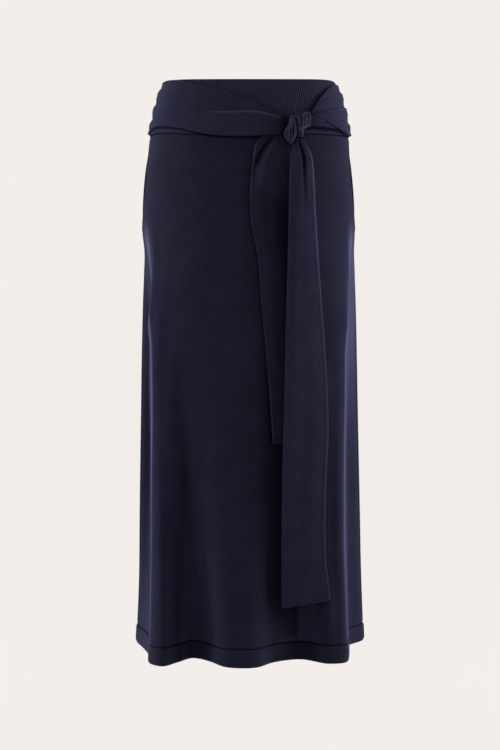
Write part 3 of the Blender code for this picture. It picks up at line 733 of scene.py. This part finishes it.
# %% Panels
def panel(side, waves, columns=170, rows=216):
    form, front = forms[side], side == "front"
    drop = panel_drops(rows)
    width = form.width(drop)
    inset = SEAM_GAP / 2 + pocket_inset(drop) * front
    share = inset / width + panel_shares(columns) * (1 - 2 * inset / width)
    edge = np.minimum(share * width - inset, (1 - share) * width - inset) / MM
    mouth = smoothstep(pocket_inset(drop) / (4 * MM)) * front
    to_top, to_foot = (drop - PANEL_TOP) / MM, (PANEL_FOOT - drop) / MM
    turned_edge = mouth * (0.5 * smoothstep((10.5 - edge) / 1.5) - 0.5 * hump(edge - STITCH_LINE, 0.9)
                           - 1.2 * smoothstep((6 - edge) / 6))
    dips = (0.9 * (1 - mouth) * hump(edge, 2.2) + 1.0 * hump(np.maximum(to_top, 0), 2)
            + 1.3 * hump(np.maximum(to_foot, 0), 2))
    lift = KNIT + waves_lift(waves, share, drop, width) + (turned_edge - dips) * MM
    placed = drop + waist_seam(side, share, 1 - smoothstep(to_top / 45))
    # painted shade along the waist and hem seams and the side seams
    painted_seam_shade = 0.7 * hump(to_foot, 1.1) + 0.8 * hump(to_top - 0.3) + 0.5 * (1 - mouth) * hump(edge)
    if front:
        # painted shadow under the sash's lower edge
        painted_shading = 0.85 * under_sash_line(share, placed) * (share > 0.24) * (share < 0.68)
        # painted shade on a mouth's stitch line and its turned edge
        painted_mouth_shade = mouth * (0.3 * hump(edge - STITCH_LINE, 0.9) + 0.5 * smoothstep((8 - edge) / 6))
        place = form.at(drop, share)
        shade = np.clip(painted_seam_shade + painted_shading + painted_mouth_shade, 0, 1) + painted_light_by_ends(drop, place[..., 0])
        # painted highlights on the crests and in the troughs
        shade = (np.minimum(shade, 1) - painted_crest_highlights(drop, share, width)
                 - painted_light_in_troughs(drop, share, -place[..., 1]))
    else:
        # painted shade: the cloth behind a pocket's mouth is out of the light
        behind_mouth = smoothstep(pocket_inset(drop) / (32 * MM)) * (1 - smoothstep((edge - 7) / 9))
        shade = np.clip(painted_seam_shade + behind_mouth, 0, 1)
    made = cloth_sheet("knit_panel_" + side, form.at(placed, share, lift), (share - 0.5) * width, -drop,
                       panel_knit, KNIT, front, shade)
    dress(made, "skirt_" + side, slot="jersey")
    return made


panels = {"front": panel("front", FRONT_WAVES, columns=210), "back": panel("back", BACK_WAVES)}

# %% [markdown]
# ## The hem band
#
# The hem is a tube of the same knit, folded double and joined to the panels, so it is thicker and
# stands a little proud under its seam. Its lower edge is a fold, not a cut, and so it is round.


# %% Hem band
HEM_WALL = 2.2 * MM


def hem_band(side, columns=260):
    form = forms[side]
    down = np.array([0, 0.4, 1, 2, 3.4, 5, 8, 12, 16, 20, 23, 25, 26, 26.6, 27])[:, None]
    drop = PANEL_FOOT + down * MM
    first = SEAM_GAP / 2 / form.width(LENGTH)
    share = np.linspace(first, 1 - first, columns)[None, :]
    width = form.width(drop)
    edge = np.minimum(share, 1 - share) * width / MM
    puff = 1.0 * smoothstep(down / 5) * smoothstep((27.8 - down) / 6)
    dips = 0.9 * hump(down, 1.4) + 1.0 * hump(27 - down, 0.7) + 0.8 * hump(edge, 2.2)
    ripple = 0.25 * np.sin(share * 61 + 2.1 * np.sin(share * 17)) * smoothstep(down / 6)
    # painted shade along the hem seam and the side seams
    shade = np.minimum(0.9 * hump(down, 1.1) + 0.5 * hump(edge), 1)
    if side == "front":
        # the painted highlight along the crests goes on down the hem
        shade = shade - 0.8 * painted_crest_highlights(drop, share, width)
    made = cloth_sheet("hem_tube_" + side, form.at(drop, share, KNIT + (puff - dips + ripple) * MM),
                       (share - 0.5) * width, -drop, panel_knit, HEM_WALL, side == "front", shade)
    dress(made, "hem_band_" + side, slot="jersey")
    return made


hems = {side: hem_band(side) for side in forms}

# %% [markdown]
# ## The ribbed waistband
#
# 240 ribs go round the waist, about 3 mm apart. Each is a half round with a narrow groove, and
# eight columns of the grid are enough to draw it. The top edge turns in slightly, as a bound-off
# rib does.

# %% Waistband
RIBS_PER_HALF = 120
RIB_CORE, RIB_HEIGHT, RIB_WALL = 2.0 * MM, 0.8 * MM, 1.6 * MM


def waistband(side, columns_per_rib=8):
    form, front = forms[side], side == "front"
    down = np.array([0, 0.5, 1.2, 2.2, 4, 8, 14, 20, 32, 44, 56, 64, 67, 68.5, 70, 71, 72, 73, 74, 75, 76, 77,
                     78, 79, 80])[:, None]
    drop = down * MM
    count = RIBS_PER_HALF * columns_per_rib + 1
    width = form.width(drop)
    share = SEAM_GAP / 2 / width + np.linspace(0, 1, count)[None, :] * (1 - SEAM_GAP / width)
    crest = np.abs(np.sin(np.linspace(0, RIBS_PER_HALF * math.pi, count)))[None, :] ** 0.8
    placed = drop + waist_seam(side, share, smoothstep((down - 35) / 45))
    under_sash = under_sash_line(share, placed) * front
    dips = 1.1 * hump(down, 0.9) + 0.7 * hump(80 - down, 1.2) + 0.5 * under_sash
    # painted shade in the rib grooves, along the waist seam and the top edge, and a painted shadow under the
    # sash's lower edge
    shade = np.clip(0.75 * (1 - crest) ** 1.5 + 0.8 * hump(80 - down, 0.8) + 0.3 * hump(down, 0.8)
                    + 0.85 * under_sash, 0, 1)
    places = form.at(placed, share, RIB_CORE + RIB_HEIGHT * crest - dips * MM)
    places[..., 2] += rim_rise(side, share, drop)
    made = cloth_sheet("rib_band_" + side, places, (share - 0.5) * width, -drop, band_knit, RIB_WALL, front,
                       shade)
    dress(made, "waistband_" + side, slot="rib")
    return made


bands = {side: waistband(side) for side in forms}

# %% [markdown]
# ## The sash across the front
#
# The grid's rows spread between the stations' edges, closest together at the fold and at both
# edges. The ties are pulled, so they also crease: short sharp lines fan out from each side pleat
# and from the knot, and die out along the cloth. Each crease runs between two places and has a
# steep side and a slow side, like a small dune.

# %% A crease, and what it does to the cloth
Crease = namedtuple("Crease", "share drop to_share to_drop width height mark", defaults=(0,))
LEFT_CREASES = (
    Crease(0.02, 21, 0.20, 27, 5, 0.9),
    Crease(0.02, 44, 0.24, 41, 6, 1.0),
    Crease(0.03, 64, 0.30, 62, 6, 0.8),
    Crease(0.06, 12, 0.30, 22, 6, 0.5),
    Crease(0.66, 66, 0.50, 60, 4, 0.7),
    Crease(0.66, 72, 0.47, 70, 5, 0.8),
    Crease(0.66, 78, 0.52, 80, 5, 0.8),
    Crease(0.64, 60, 0.55, 54, 3, 0.6),
)
RIGHT_CREASES = (
    Crease(0.71, 55, 0.94, 37, 5, 1.8, 0.35),
    Crease(0.72, 60, 0.93, 56, 5, 0.9),
    Crease(0.778, 61, 0.888, 82, 3.4, 2.6, 1),
    Crease(0.71, 66, 0.84, 70, 4, 1.0),
    Crease(0.73, 45, 0.88, 16, 4, 0.8),
    Crease(0.98, 22, 0.86, 25, 4, 0.8),
    Crease(0.98, 46, 0.86, 44, 4, 0.8),
)
FRONT_AT_SASH = 395.0  # mm of cloth from seam to seam where the sash lies
KNOT_SHARE = 0.7  # the knot's middle, as a share of the front
SIDE_PLEATS, PLEAT_START, PLEAT_HEIGHT, PLEAT_REACH = 3.2, 0.6, 4.2 * MM, 0.12


def along_crease(c, share, drop):
    """How far along the crease these places are, 0 to 1, and how far below it in millimetres."""
    dx, dy = (c.to_share - c.share) * FRONT_AT_SASH, c.to_drop - c.drop
    long = math.hypot(dx, dy)
    px, py = (share - c.share) * FRONT_AT_SASH, drop / MM - c.drop
    return (px * dx + py * dy) / long ** 2, (px * dy - py * dx) / long * (-1 if dx > 0 else 1)


def creases_lift(creases, share, drop):
    lift = np.zeros(np.broadcast(share, drop).shape)
    for c in creases:
        t, below = along_crease(c, share, drop)
        off = np.where(below < 0, below / (0.35 * c.width), below / (1.4 * c.width))
        fade = 0.7 if c.mark < 1 else 0.15
        lift += c.height * MM * hump(off) * smoothstep(t / 0.12) * smoothstep((1 - t) / fade)
    return lift


def creases_painted_light(creases, share, drop):
    """A crease with painted light has a painted highlight at its crest and painted shade beyond its steep
    side.
    """
    mark = np.zeros(np.broadcast(share, drop).shape)
    for c in creases:
        if c.mark:
            t, below = along_crease(c, share, drop)
            inside = smoothstep(t / 0.2) * smoothstep((1 - t) / 0.2)
            mark += c.mark * inside * (0.5 * hump(below + 2.0, 1.1) - 0.22 * hump(below, 1.0)
                                       + 0.6 * hump(below - 2.4, 1.2))
    return mark


print(len(LEFT_CREASES) + len(RIGHT_CREASES), "creases")


# %% Ties
def sash(name, node, table, creases, columns, rows=76):
    form = forms["front"]
    given = column(table, "share")
    share = np.linspace(given[0], given[-1], columns)[None, :]
    even = np.linspace(0, 1, rows)[:, None]
    q = even - 0.055 * np.sin(4 * math.pi * even)  # rows gather at the fold and at both edges
    top, fold, bottom, proud, lift = (
        smooth_table(share, given, column(table, field)) * MM
        for field in ("top", "fold", "bottom", "proud", "lift"))
    drop = np.where(q < 0.5, bottom + (fold - bottom) * q * 2, fold + (top - fold) * (q * 2 - 1))
    under_fold = np.clip((drop - fold) / (4.5 * MM), 0, 1)
    round_lip = np.sqrt(1 - (1 - under_fold) ** 2) * (0.5 + 0.5 * smoothstep(q * 2))
    from_seam = np.minimum(share, 1 - share)
    pleat = (SIDE_PLEATS * (1 - q) + PLEAT_START) % 1
    saw = smoothstep(pleat / 0.12) * (1 - smoothstep((pleat - 0.16) / 0.84))
    reach = np.clip(1 - from_seam / PLEAT_REACH, 0, 1) ** 1.5
    above, below = (drop - top) / MM, (bottom - drop) / MM
    edge = np.minimum(above, below)
    rolled = (0.4 * hump(edge - 1.6, 1.4) - 1.0 * hump(edge, 0.8)) * MM
    tucked = smoothstep(below / 3)  # the lowest pleat is held down to the band
    lowest = 2.6 * MM * hump(below - 3, 2.4) * np.clip(1 - from_seam / 0.05, 0, 1)
    out = (lift * (0.6 + 0.4 * tucked) + KNIT + proud * round_lip + PLEAT_HEIGHT * saw * reach * tucked
           + lowest + rolled + creases_lift(creases, share, drop))
    # painted shade in the notch above each side pleat, and a painted highlight on its lip
    to_notch = np.where(pleat < 0.5, pleat / 0.05, (1 - pleat) / 0.12)
    notch_shadow = 0.9 * hump(to_notch) * np.clip(1 - from_seam / 0.06, 0, 1)
    lip = 0.5 * hump(pleat - 0.2, 0.16) * np.clip(1 - from_seam / 0.04, 0, 1)
    left_of_knot = share < KNOT_SHARE
    # painted shade beside the knot
    knot_shadow = 0.45 * smoothstep((share - 0.6) / 0.025) * left_of_knot
    shown = np.where(left_of_knot, smoothstep((share - 0.31) / 0.1), smoothstep((0.93 - share) / 0.05))
    # painted highlight along the fold's lip, and on the right a painted shade just above the fold
    ridge = np.where(left_of_knot, 0.22, 0.08) * hump(under_fold - 0.4, 0.35) * (under_fold > 0) * shown
    over = 0.4 * hump((fold - drop) / MM - 1.0, 1.1) * ~left_of_knot * smoothstep((0.87 - share) / 0.05)
    # the sash's painted light and shade, with painted shade along both its edges
    painted_shading = np.clip(notch_shadow + knot_shadow + over + creases_painted_light(creases, share, drop)
                      + hump(below, 0.9) + 0.25 * hump(above, 0.8), -1, 1) - lip - ridge
    places = form.at(drop, share, out)
    places[..., 2] += rim_rise("front", share, drop)
    made = cloth_sheet(name, places, share * FRONT_AT_SASH * MM, -drop, sash_knit, KNIT, False, painted_shading)
    dress(made, node, slot="jersey")
    return made


left_tie = sash("tie_left", "sash_left", LEFT_SASH, LEFT_CREASES, 300)
right_tie = sash("tie_right", "sash_right", RIGHT_SASH, RIGHT_CREASES, 150)

# %% [markdown]
# ## The two hanging ends
#
# Below the knot each end falls straight down in front of the panel. At the top it is still
# gathered, with a cleft between two pleats, and it opens out to its full width within a hand's
# length. Its long edges are turned in and stitched, so there is a fine line 7 mm from each, and
# they curl back a little.

# %% Hanging ends
END_STITCH_LINE = 7  # mm from each long edge


def hanging_end(name, node, table, end_slant, ripples, knit, rows, behind, columns=64):
    given = column(table, "drop")
    # rows are closer together at the top, where the cloth is gathered
    t = np.linspace(0, 1, rows)[:, None] ** 1.35
    at = given[0] + (given[-1] - given[0]) * t
    even = np.linspace(0, 1, columns)[None, :]
    v = even - 0.07 * np.sin(2 * math.pi * even)
    left, right, ahead_left, ahead_right, bow, cleft = (
        smooth_table(at, given, column(table, field)) * MM
        for field in ("left", "right", "ahead_left", "ahead_right", "bow", "cleft"))
    cleft_at = smooth_table(at, given, column(table, "cleft_at"))
    valley = hump(v - cleft_at, 0.075)
    edge = np.minimum(v, 1 - v) * (right - left) / MM
    open_out = smoothstep((at - given[0]) / 40)
    end = given[-1] - at
    curl = 1.3 * hump(edge, 1.2) * open_out + 0.9 * hump(end, 1.2)
    stitch = 0.3 * hump(edge - END_STITCH_LINE, 0.9) * open_out
    depth = (ahead_left + (ahead_right - ahead_left) * v + bow * (1 - (2 * v - 1) ** 2) - cleft * valley
             - (curl + stitch) * MM)
    for wave in ripples:
        middle = wave.share + (wave.to_share - wave.share) * (at - wave.drop) / (wave.to_drop - wave.drop)
        fade = smoothstep((at - wave.drop) / 40) * smoothstep((wave.to_drop - at) / 60)
        depth = depth + wave.depth * MM * hump(v - middle, wave.width) * fade
    slant = end_slant * (v - 0.5) * np.clip(1 - end / 124, 0, 1)
    level = at * MM - slant
    across = left + (right - left) * v
    front = np.stack(np.broadcast_arrays(across, -depth, -level), axis=2)
    # painted shade on the right stitch line, along the edges, at the end and in the cleft
    shade = (0.1 * hump(edge - END_STITCH_LINE, 0.9) * (v > 0.5) * open_out + 0.4 * hump(edge, 0.7)
             + 0.5 * hump(end, 0.8) + 0.75 * valley * smoothstep(cleft / (3.5 * MM)))
    if behind:
        # its right part lies behind the long end and takes a painted shadow, and a pleat stands beside its
        # cleft
        long_end_shadow = 0.25 * smoothstep((v - 0.12) / 0.2) + 0.35 * smoothstep((v - 0.4) / 0.3)
        shade = shade + long_end_shadow * smoothstep((at - 150) / 60)
        pleat = hump(v - cleft_at - 0.17, 0.07) * smoothstep((at - 86) / 10) * smoothstep((178 - at) / 50)
        front[..., 1] -= 1.2 * MM * pleat
        # painted highlights on the pleat and along the left rim
        painted_rim = hump(v * (right - left) / MM, 1.8) * smoothstep((190 - at) / 40)
        pale = 0.08 * pleat + 0.25 * painted_rim
    else:
        # painted highlight along the right rim
        painted_rim = hump((1 - v) * (right - left) / MM - 1.4, 1.2) * open_out
        pale = 0.22 * painted_rim * (1 - 0.7 * smoothstep((at - 250) / 150))
    shade = np.clip(shade, 0, 1) - pale
    made = cloth_sheet(name, front, across, -level, knit, KNIT, True, shade)
    dress(made, node, slot="jersey")
    return made


LONG_RIPPLES = (Wave(0.3, 150, 0.22, 520, 0.16, 0.8), Wave(0.7, 250, 0.62, 760, 0.2, 0.7),
                Wave(0.45, 480, 0.4, 784, 0.14, -0.6))
SHORT_RIPPLES = (Wave(0.26, 120, 0.16, 260, 0.12, 1.4), Wave(0.5, 260, 0.4, 520, 0.2, 0.7))
long_end = hanging_end("tie_end_long", "sash_tail_long", LONG_TAIL, 12 * MM, LONG_RIPPLES, sash_knit, 260,
                       behind=False)
# the short end is the same sash, drawn in the panels' darker knit as painted shade
short_end = hanging_end("tie_end_short", "sash_tail_short", SHORT_TAIL, 0, SHORT_RIPPLES, panel_knit, 200,
                        behind=True)

# %% [markdown]
# ## The knot
#
# A knot in wide cloth is a few flat, folded strands that lie over one another, pulled tight. Here
# a ball is drawn out to the knot's outline and flattened, and the strands are laid on it: at each
# place the highest strand shows, so one strand's edge ends where it passes over the next. A
# strand has a path, and at each point of it a width and a height above the ball. smooth_vert then
# softens the edges as thick knit would.

# %% The knot's outline, and its strands in millimetres across and down
KNOT_AT = np.array((70.0, 76.0))
KNOT_OUTLINE = (
    (92.9, 61.7), (92.4, 71), (87.4, 74.4), (82, 77), (80.9, 82.6), (80.9, 89.6), (75.1, 89.2),
    (69.6, 87.8), (66.8, 92.5), (61.9, 100.2), (58.9, 99.9), (53.7, 93.9), (49.9, 85.4), (51.3, 81),
    (55.5, 73.3), (58.9, 66.4), (58.4, 61.5), (59.6, 57.2), (67.8, 56.2), (69.2, 53.6), (73.8, 55.2),
    (77.7, 53.8), (83.5, 51), (88.6, 49.7), (92.2, 52.5),
)
KNOT_AHEAD, KNOT_FRONT, KNOT_BACK = 106, 12.5, 12  # where the ball's middle is, and its two half depths
Strand = namedtuple("Strand", "name path widths heights")
KNOT_STRANDS = (
    Strand("over the top", ((58, 59.5), (63, 57.8), (69, 59)), (6, 7, 6), (2.5, 5, 4.5)),
    Strand("leaf, outer fold", ((62.5, 60.5), (58.8, 67), (54.6, 75), (52.4, 83), (55, 91.5), (60, 99)),
           (5, 5.5, 6, 6.5, 6, 4), (4, 5.6, 6, 6.4, 6, 4)),
    Strand("leaf, second fold", ((63.2, 62), (60.8, 71), (58.4, 80), (58.6, 88), (60.4, 98)),
           (3.5, 4, 4.5, 5, 4), (5, 6.6, 7, 6.8, 4)),
    Strand("leaf, third fold", ((64, 62), (63.2, 70), (62.8, 78), (62.6, 87), (61.3, 98.5)),
           (3, 3.6, 4, 5, 4), (5, 6.2, 6.2, 6, 4)),
    Strand("leaf, inner fold", ((65, 61), (67.2, 67), (68.2, 75), (67.8, 83), (65.6, 91), (61.8, 98.5)),
           (3.2, 3.8, 4, 4.2, 4.2, 3), (6, 7.8, 8.4, 7.8, 6.4, 4)),
    Strand("middle", ((73.5, 53.5), (74, 61), (74, 70), (73.8, 78), (74, 82)), (8, 8, 7.6, 7.2, 7),
           (6, 7.6, 8, 7.2, 5.4)),
    Strand("middle fold", ((73.6, 57), (74.6, 63), (74.2, 71), (73.6, 79)), (3, 3.6, 3.6, 3),
           (7.4, 9.2, 9.4, 7.6)),
    Strand("lip", ((69.6, 54.2), (72.6, 56.6), (74.6, 60.4)), (3, 3.4, 3), (7, 8.4, 8.6)),
    Strand("lobe", ((80.6, 52.5), (83.2, 57), (83.8, 63), (82, 70), (79.4, 77), (78, 83), (78, 88)),
           (10, 13, 13, 11, 8, 6.4, 6), (6, 8.2, 9, 8.4, 7, 6, 4.5)),
    Strand("lobe, inner fold", ((79.2, 54), (78.8, 62), (78, 70), (77.2, 77), (76.6, 83)),
           (2.8, 3, 3, 2.8, 2.6), (8, 9.6, 9.6, 8, 6)),
    Strand("lobe, outer fold", ((84.5, 52.5), (88.2, 56.5), (89, 62), (86.8, 68), (82.8, 74), (80.4, 80)),
           (3, 3.4, 3.6, 3.4, 3, 2.6), (6, 8.4, 9.4, 9, 7.6, 6)),
    Strand("collar", ((88, 50.5), (91.6, 55), (92.2, 61.5), (90.6, 67.5), (86.4, 73.4)),
           (3.4, 4, 4, 4, 3.4), (3, 5, 6, 6, 4.5)),
    Strand("cushion", ((69.5, 84.5), (74, 86.4), (79.5, 88)), (5, 6, 6), (3, 4.6, 3.6)),
)


def strands_height(at):
    """The highest strand's height at these places, and how near its edge the place is."""
    height, near_edge = np.zeros(len(at)), np.zeros(len(at))
    for strand in KNOT_STRANDS:
        path = np.array(strand.path, float)
        knots = lengths_along(path)
        along = np.linspace(0, knots[-1], 60)
        line = np.stack([smooth_table(along, knots, path[:, k]) for k in range(2)], axis=1)
        apart = np.linalg.norm(at[:, None, :] - line[None, :, :], axis=2)
        nearest = apart.argmin(axis=1)
        wide = np.interp(along[nearest], knots, strand.widths) / 2
        off = np.clip(apart.min(axis=1) / wide, 0, 1)
        rounding = (0.8 + 0.5 * wide) * (1 - np.sqrt(1 - off ** 2))
        here = np.interp(along[nearest], knots, strand.heights) - rounding
        wins = (apart.min(axis=1) < wide) & (here > height)
        height, near_edge = np.where(wins, here, height), np.where(wins, off ** 5, near_edge)
    return height, near_edge


print(len(KNOT_STRANDS), "strands and folds")

# %% The knot
BALL_RADIUS = 20 * MM  # its stitches are spaced as on a ball of this size
knot_mesh = bmesh.new()
bmesh.ops.create_icosphere(knot_mesh, subdivisions=7, radius=1)
ball = np.array([vert.co[:] for vert in knot_mesh.verts])
tilt = np.arccos(np.clip(-ball[:, 1], -1, 1))  # 0 at the front
around = np.arctan2(-ball[:, 2], ball[:, 0])
outline = np.array(KNOT_OUTLINE) - KNOT_AT
bearing = np.unwrap(np.arctan2(outline[:, 1], outline[:, 0]))
reach = np.linalg.norm(outline, axis=1)
# the outline is closed by its first point, one turn further on
bearing, reach = np.append(bearing, bearing[0] + 2 * math.pi), np.append(reach, reach[0])
out = np.interp((around - bearing[0]) % (2 * math.pi) + bearing[0], bearing, reach) * np.sin(tilt)
at = KNOT_AT + np.stack([out * np.cos(around), out * np.sin(around)], axis=1)
height, near_edge = strands_height(at)
facing = np.cos(tilt)
ahead = KNOT_AHEAD + np.where(facing > 0, KNOT_FRONT, KNOT_BACK) * facing
ahead = ahead + height * smoothstep(facing / 0.16)
# painted shade on its rim, which turns away, most of all below and at the right, where the light thins
painted_rim = (0.88 + 0.12 * np.cos(around - math.pi / 4)) * (1 - smoothstep((facing - 0.14) / 0.4))
painted_rim = painted_rim * (1 - 0.6 * smoothstep((0.02 - facing) / 0.3))
# painted shade where one strand's edge meets the next, and a little painted light on its face
knot_shade = np.clip(0.75 * near_edge + painted_rim, 0, 1) - 0.06 * smoothstep((facing - 0.5) / 0.2)
painted_light_layer = knot_mesh.verts.layers.float.new("painted_shade_and_light")
uv_layer = knot_mesh.loops.layers.uv.new("cloth")
for k, vert in enumerate(knot_mesh.verts):
    vert.co = (at[k][0] * MM, -ahead[k] * MM, -at[k][1] * MM)
    vert[painted_light_layer] = float(knot_shade[k])
for _ in range(3):
    bmesh.ops.smooth_vert(knot_mesh, verts=knot_mesh.verts[:], factor=0.5, use_axis_x=True, use_axis_y=True,
                          use_axis_z=True)
knot_mesh.verts.index_update()
for face in knot_mesh.faces:
    face.smooth = True
    for loop in face.loops:
        k = loop.vert.index
        along = tilt[k] * BALL_RADIUS
        loop[uv_layer].uv = (along * math.cos(around[k]), along * math.sin(around[k]))
bmesh.ops.recalc_face_normals(knot_mesh, faces=knot_mesh.faces[:])
knot = as_object("knot", knot_mesh, sash_knit)
dress(knot, "sash_knot", slot="jersey")

# %% [markdown]
# ## The pocket bags
#
# A bag of the same knit hangs flat inside the front panel, and shows only through the slit. It is
# a plain sheet here, two layers thick, a little behind the panel.

# %% Pocket bags
POCKET_BOTTOM, POCKET_WIDTH, POCKET_WALL, REST_GAP = 300 * MM, 120 * MM, 2.4 * MM, 1.2 * MM


def pocket_bag(seam, rows=70, columns=40):
    form = forms["front"]
    drop = np.linspace(POCKET_TOP, POCKET_BOTTOM, rows)[:, None]
    width = form.width(drop)
    across = np.linspace(0, 1, columns)[None, :]
    corner = np.clip((drop - POCKET_MOUTH_END) / (POCKET_BOTTOM - POCKET_MOUTH_END), 0, 1) ** 2
    near = 0.3 * MM + POCKET_WIDTH * 0.12 * corner
    far = POCKET_WIDTH * (1 - 0.25 * corner)
    share = (near + (far - near) * across) / width
    share = share if seam == "left" else 1 - share
    hang = -REST_GAP * (1 + 0.8 * np.sqrt(corner))
    # painted shade: it is out of the light behind the mouth, so it is drawn dark all over
    made = cloth_sheet("pocket_bag_" + seam, form.at(drop, share, hang), share * width, -drop, panel_knit,
                       POCKET_WALL, seam == "left", np.ones(share.shape))
    dress(made, "pocket_" + seam, slot="jersey")
    return made


pockets = {seam: pocket_bag(seam) for seam in ("left", "right")}

# %% [markdown]
# ## Flat sizes
#
# A sheet of cloth keeps its area however it hangs. This script gives no flat sizes for the sheets.

# %% Flat sizes
print("no flat sizes are given here")

# %% [markdown]
# ## Studio, light and camera
#
# The skirt hangs at a wearer's height above a pale floor. Two tall soft lights stand almost
# straight out at its sides, so that they rake along the folds and edge the dark cloth with light.
# The studio's pale walls fill the rest, weakly. The camera is level, and its lens is shifted so
# that upright lines stay upright.

# %% Floor
PALE = "#F3EEEA"
FLOOR_DROP = 1.05  # metres below the waist
floor_paint = bpy.data.materials.new("pale_matt_paint")
floor_paint.use_nodes = True
floor_shader = floor_paint.node_tree.nodes["Principled BSDF"]
floor_shader.inputs["Base Color"].default_value = (0.05, 0.05, 0.05, 1)
floor_shader.inputs["Roughness"].default_value = 1
floor_shader.inputs["Specular IOR Level"].default_value = 0
floor_shader.inputs["Emission Color"].default_value = linear(PALE)
floor_shader.inputs["Emission Strength"].default_value = 0.97
floor_mesh = bmesh.new()
bmesh.ops.create_circle(floor_mesh, cap_ends=True, segments=96, radius=30)
bmesh.ops.translate(floor_mesh, vec=(0, 0, -FLOOR_DROP), verts=floor_mesh.verts[:])
floor = as_object("floor", floor_mesh, floor_paint)
floor.visible_diffuse = floor.visible_glossy = False  # it glows for the camera alone
print("the floor is", round((FLOOR_DROP - LENGTH) * 1000), "mm below the hem")

# %% Walls and lights
WALLS_SEEN, WALLS_LIGHT = 1.0, 0.25  # how bright the walls look, and how much they light
world = bpy.data.worlds.new("studio_walls")
bpy.context.scene.world = world
world.use_nodes = True
walls = world.node_tree
seen = add(walls, "ShaderNodeBackground", {"Color": linear(PALE), "Strength": WALLS_SEEN}).outputs[0]
lit = add(walls, "ShaderNodeBackground", {"Color": linear(PALE), "Strength": WALLS_LIGHT}).outputs[0]
straight = add(walls, "ShaderNodeLightPath").outputs["Is Camera Ray"]
both = add(walls, "ShaderNodeMixShader", {0: straight, 1: lit, 2: seen}).outputs[0]
walls.links.new(both, walls.nodes["World Output"].inputs["Surface"])


def softbox(name, place, aim, size, watts):
    light = bpy.data.lights.new(name, "AREA")
    light.shape, light.size, light.size_y, light.energy = "RECTANGLE", size[0], size[1], watts
    holder = bpy.data.objects.new(name, light)
    bpy.context.scene.collection.objects.link(holder)
    back = np.array(place, float) - np.array(aim, float)
    yaw, pitch = math.atan2(back[0], -back[1]), math.atan2(math.hypot(back[0], back[1]), back[2])
    holder.location, holder.rotation_euler = place, (pitch, 0, yaw)
    holder.visible_camera = False
    return holder


softbox("left_softbox", (-1.98, -0.28, -0.35), (0, 0, -0.45), (1.2, 1.9), 32)
softbox("right_softbox", (1.99, -0.21, -0.35), (0, 0, -0.45), (1.2, 1.9), 34)
print("two softboxes and the studio's walls")

# %% Camera
camera_data = bpy.data.cameras.new("camera")
camera_data.sensor_fit, camera_data.sensor_height, camera_data.lens = "VERTICAL", 36, 67.3
camera_data.shift_y = -115 / 750  # the horizon is above the middle of the frame
camera = bpy.data.objects.new("camera", camera_data)
camera.location, camera.rotation_euler = (0.0005, -2.2, -0.272), (math.radians(90), 0, 0)
bpy.context.scene.collection.objects.link(camera)
bpy.context.scene.camera = camera
bpy.context.scene.view_settings.view_transform = "Standard"
print("the camera is level,", camera.location[2], "m from the waist's height")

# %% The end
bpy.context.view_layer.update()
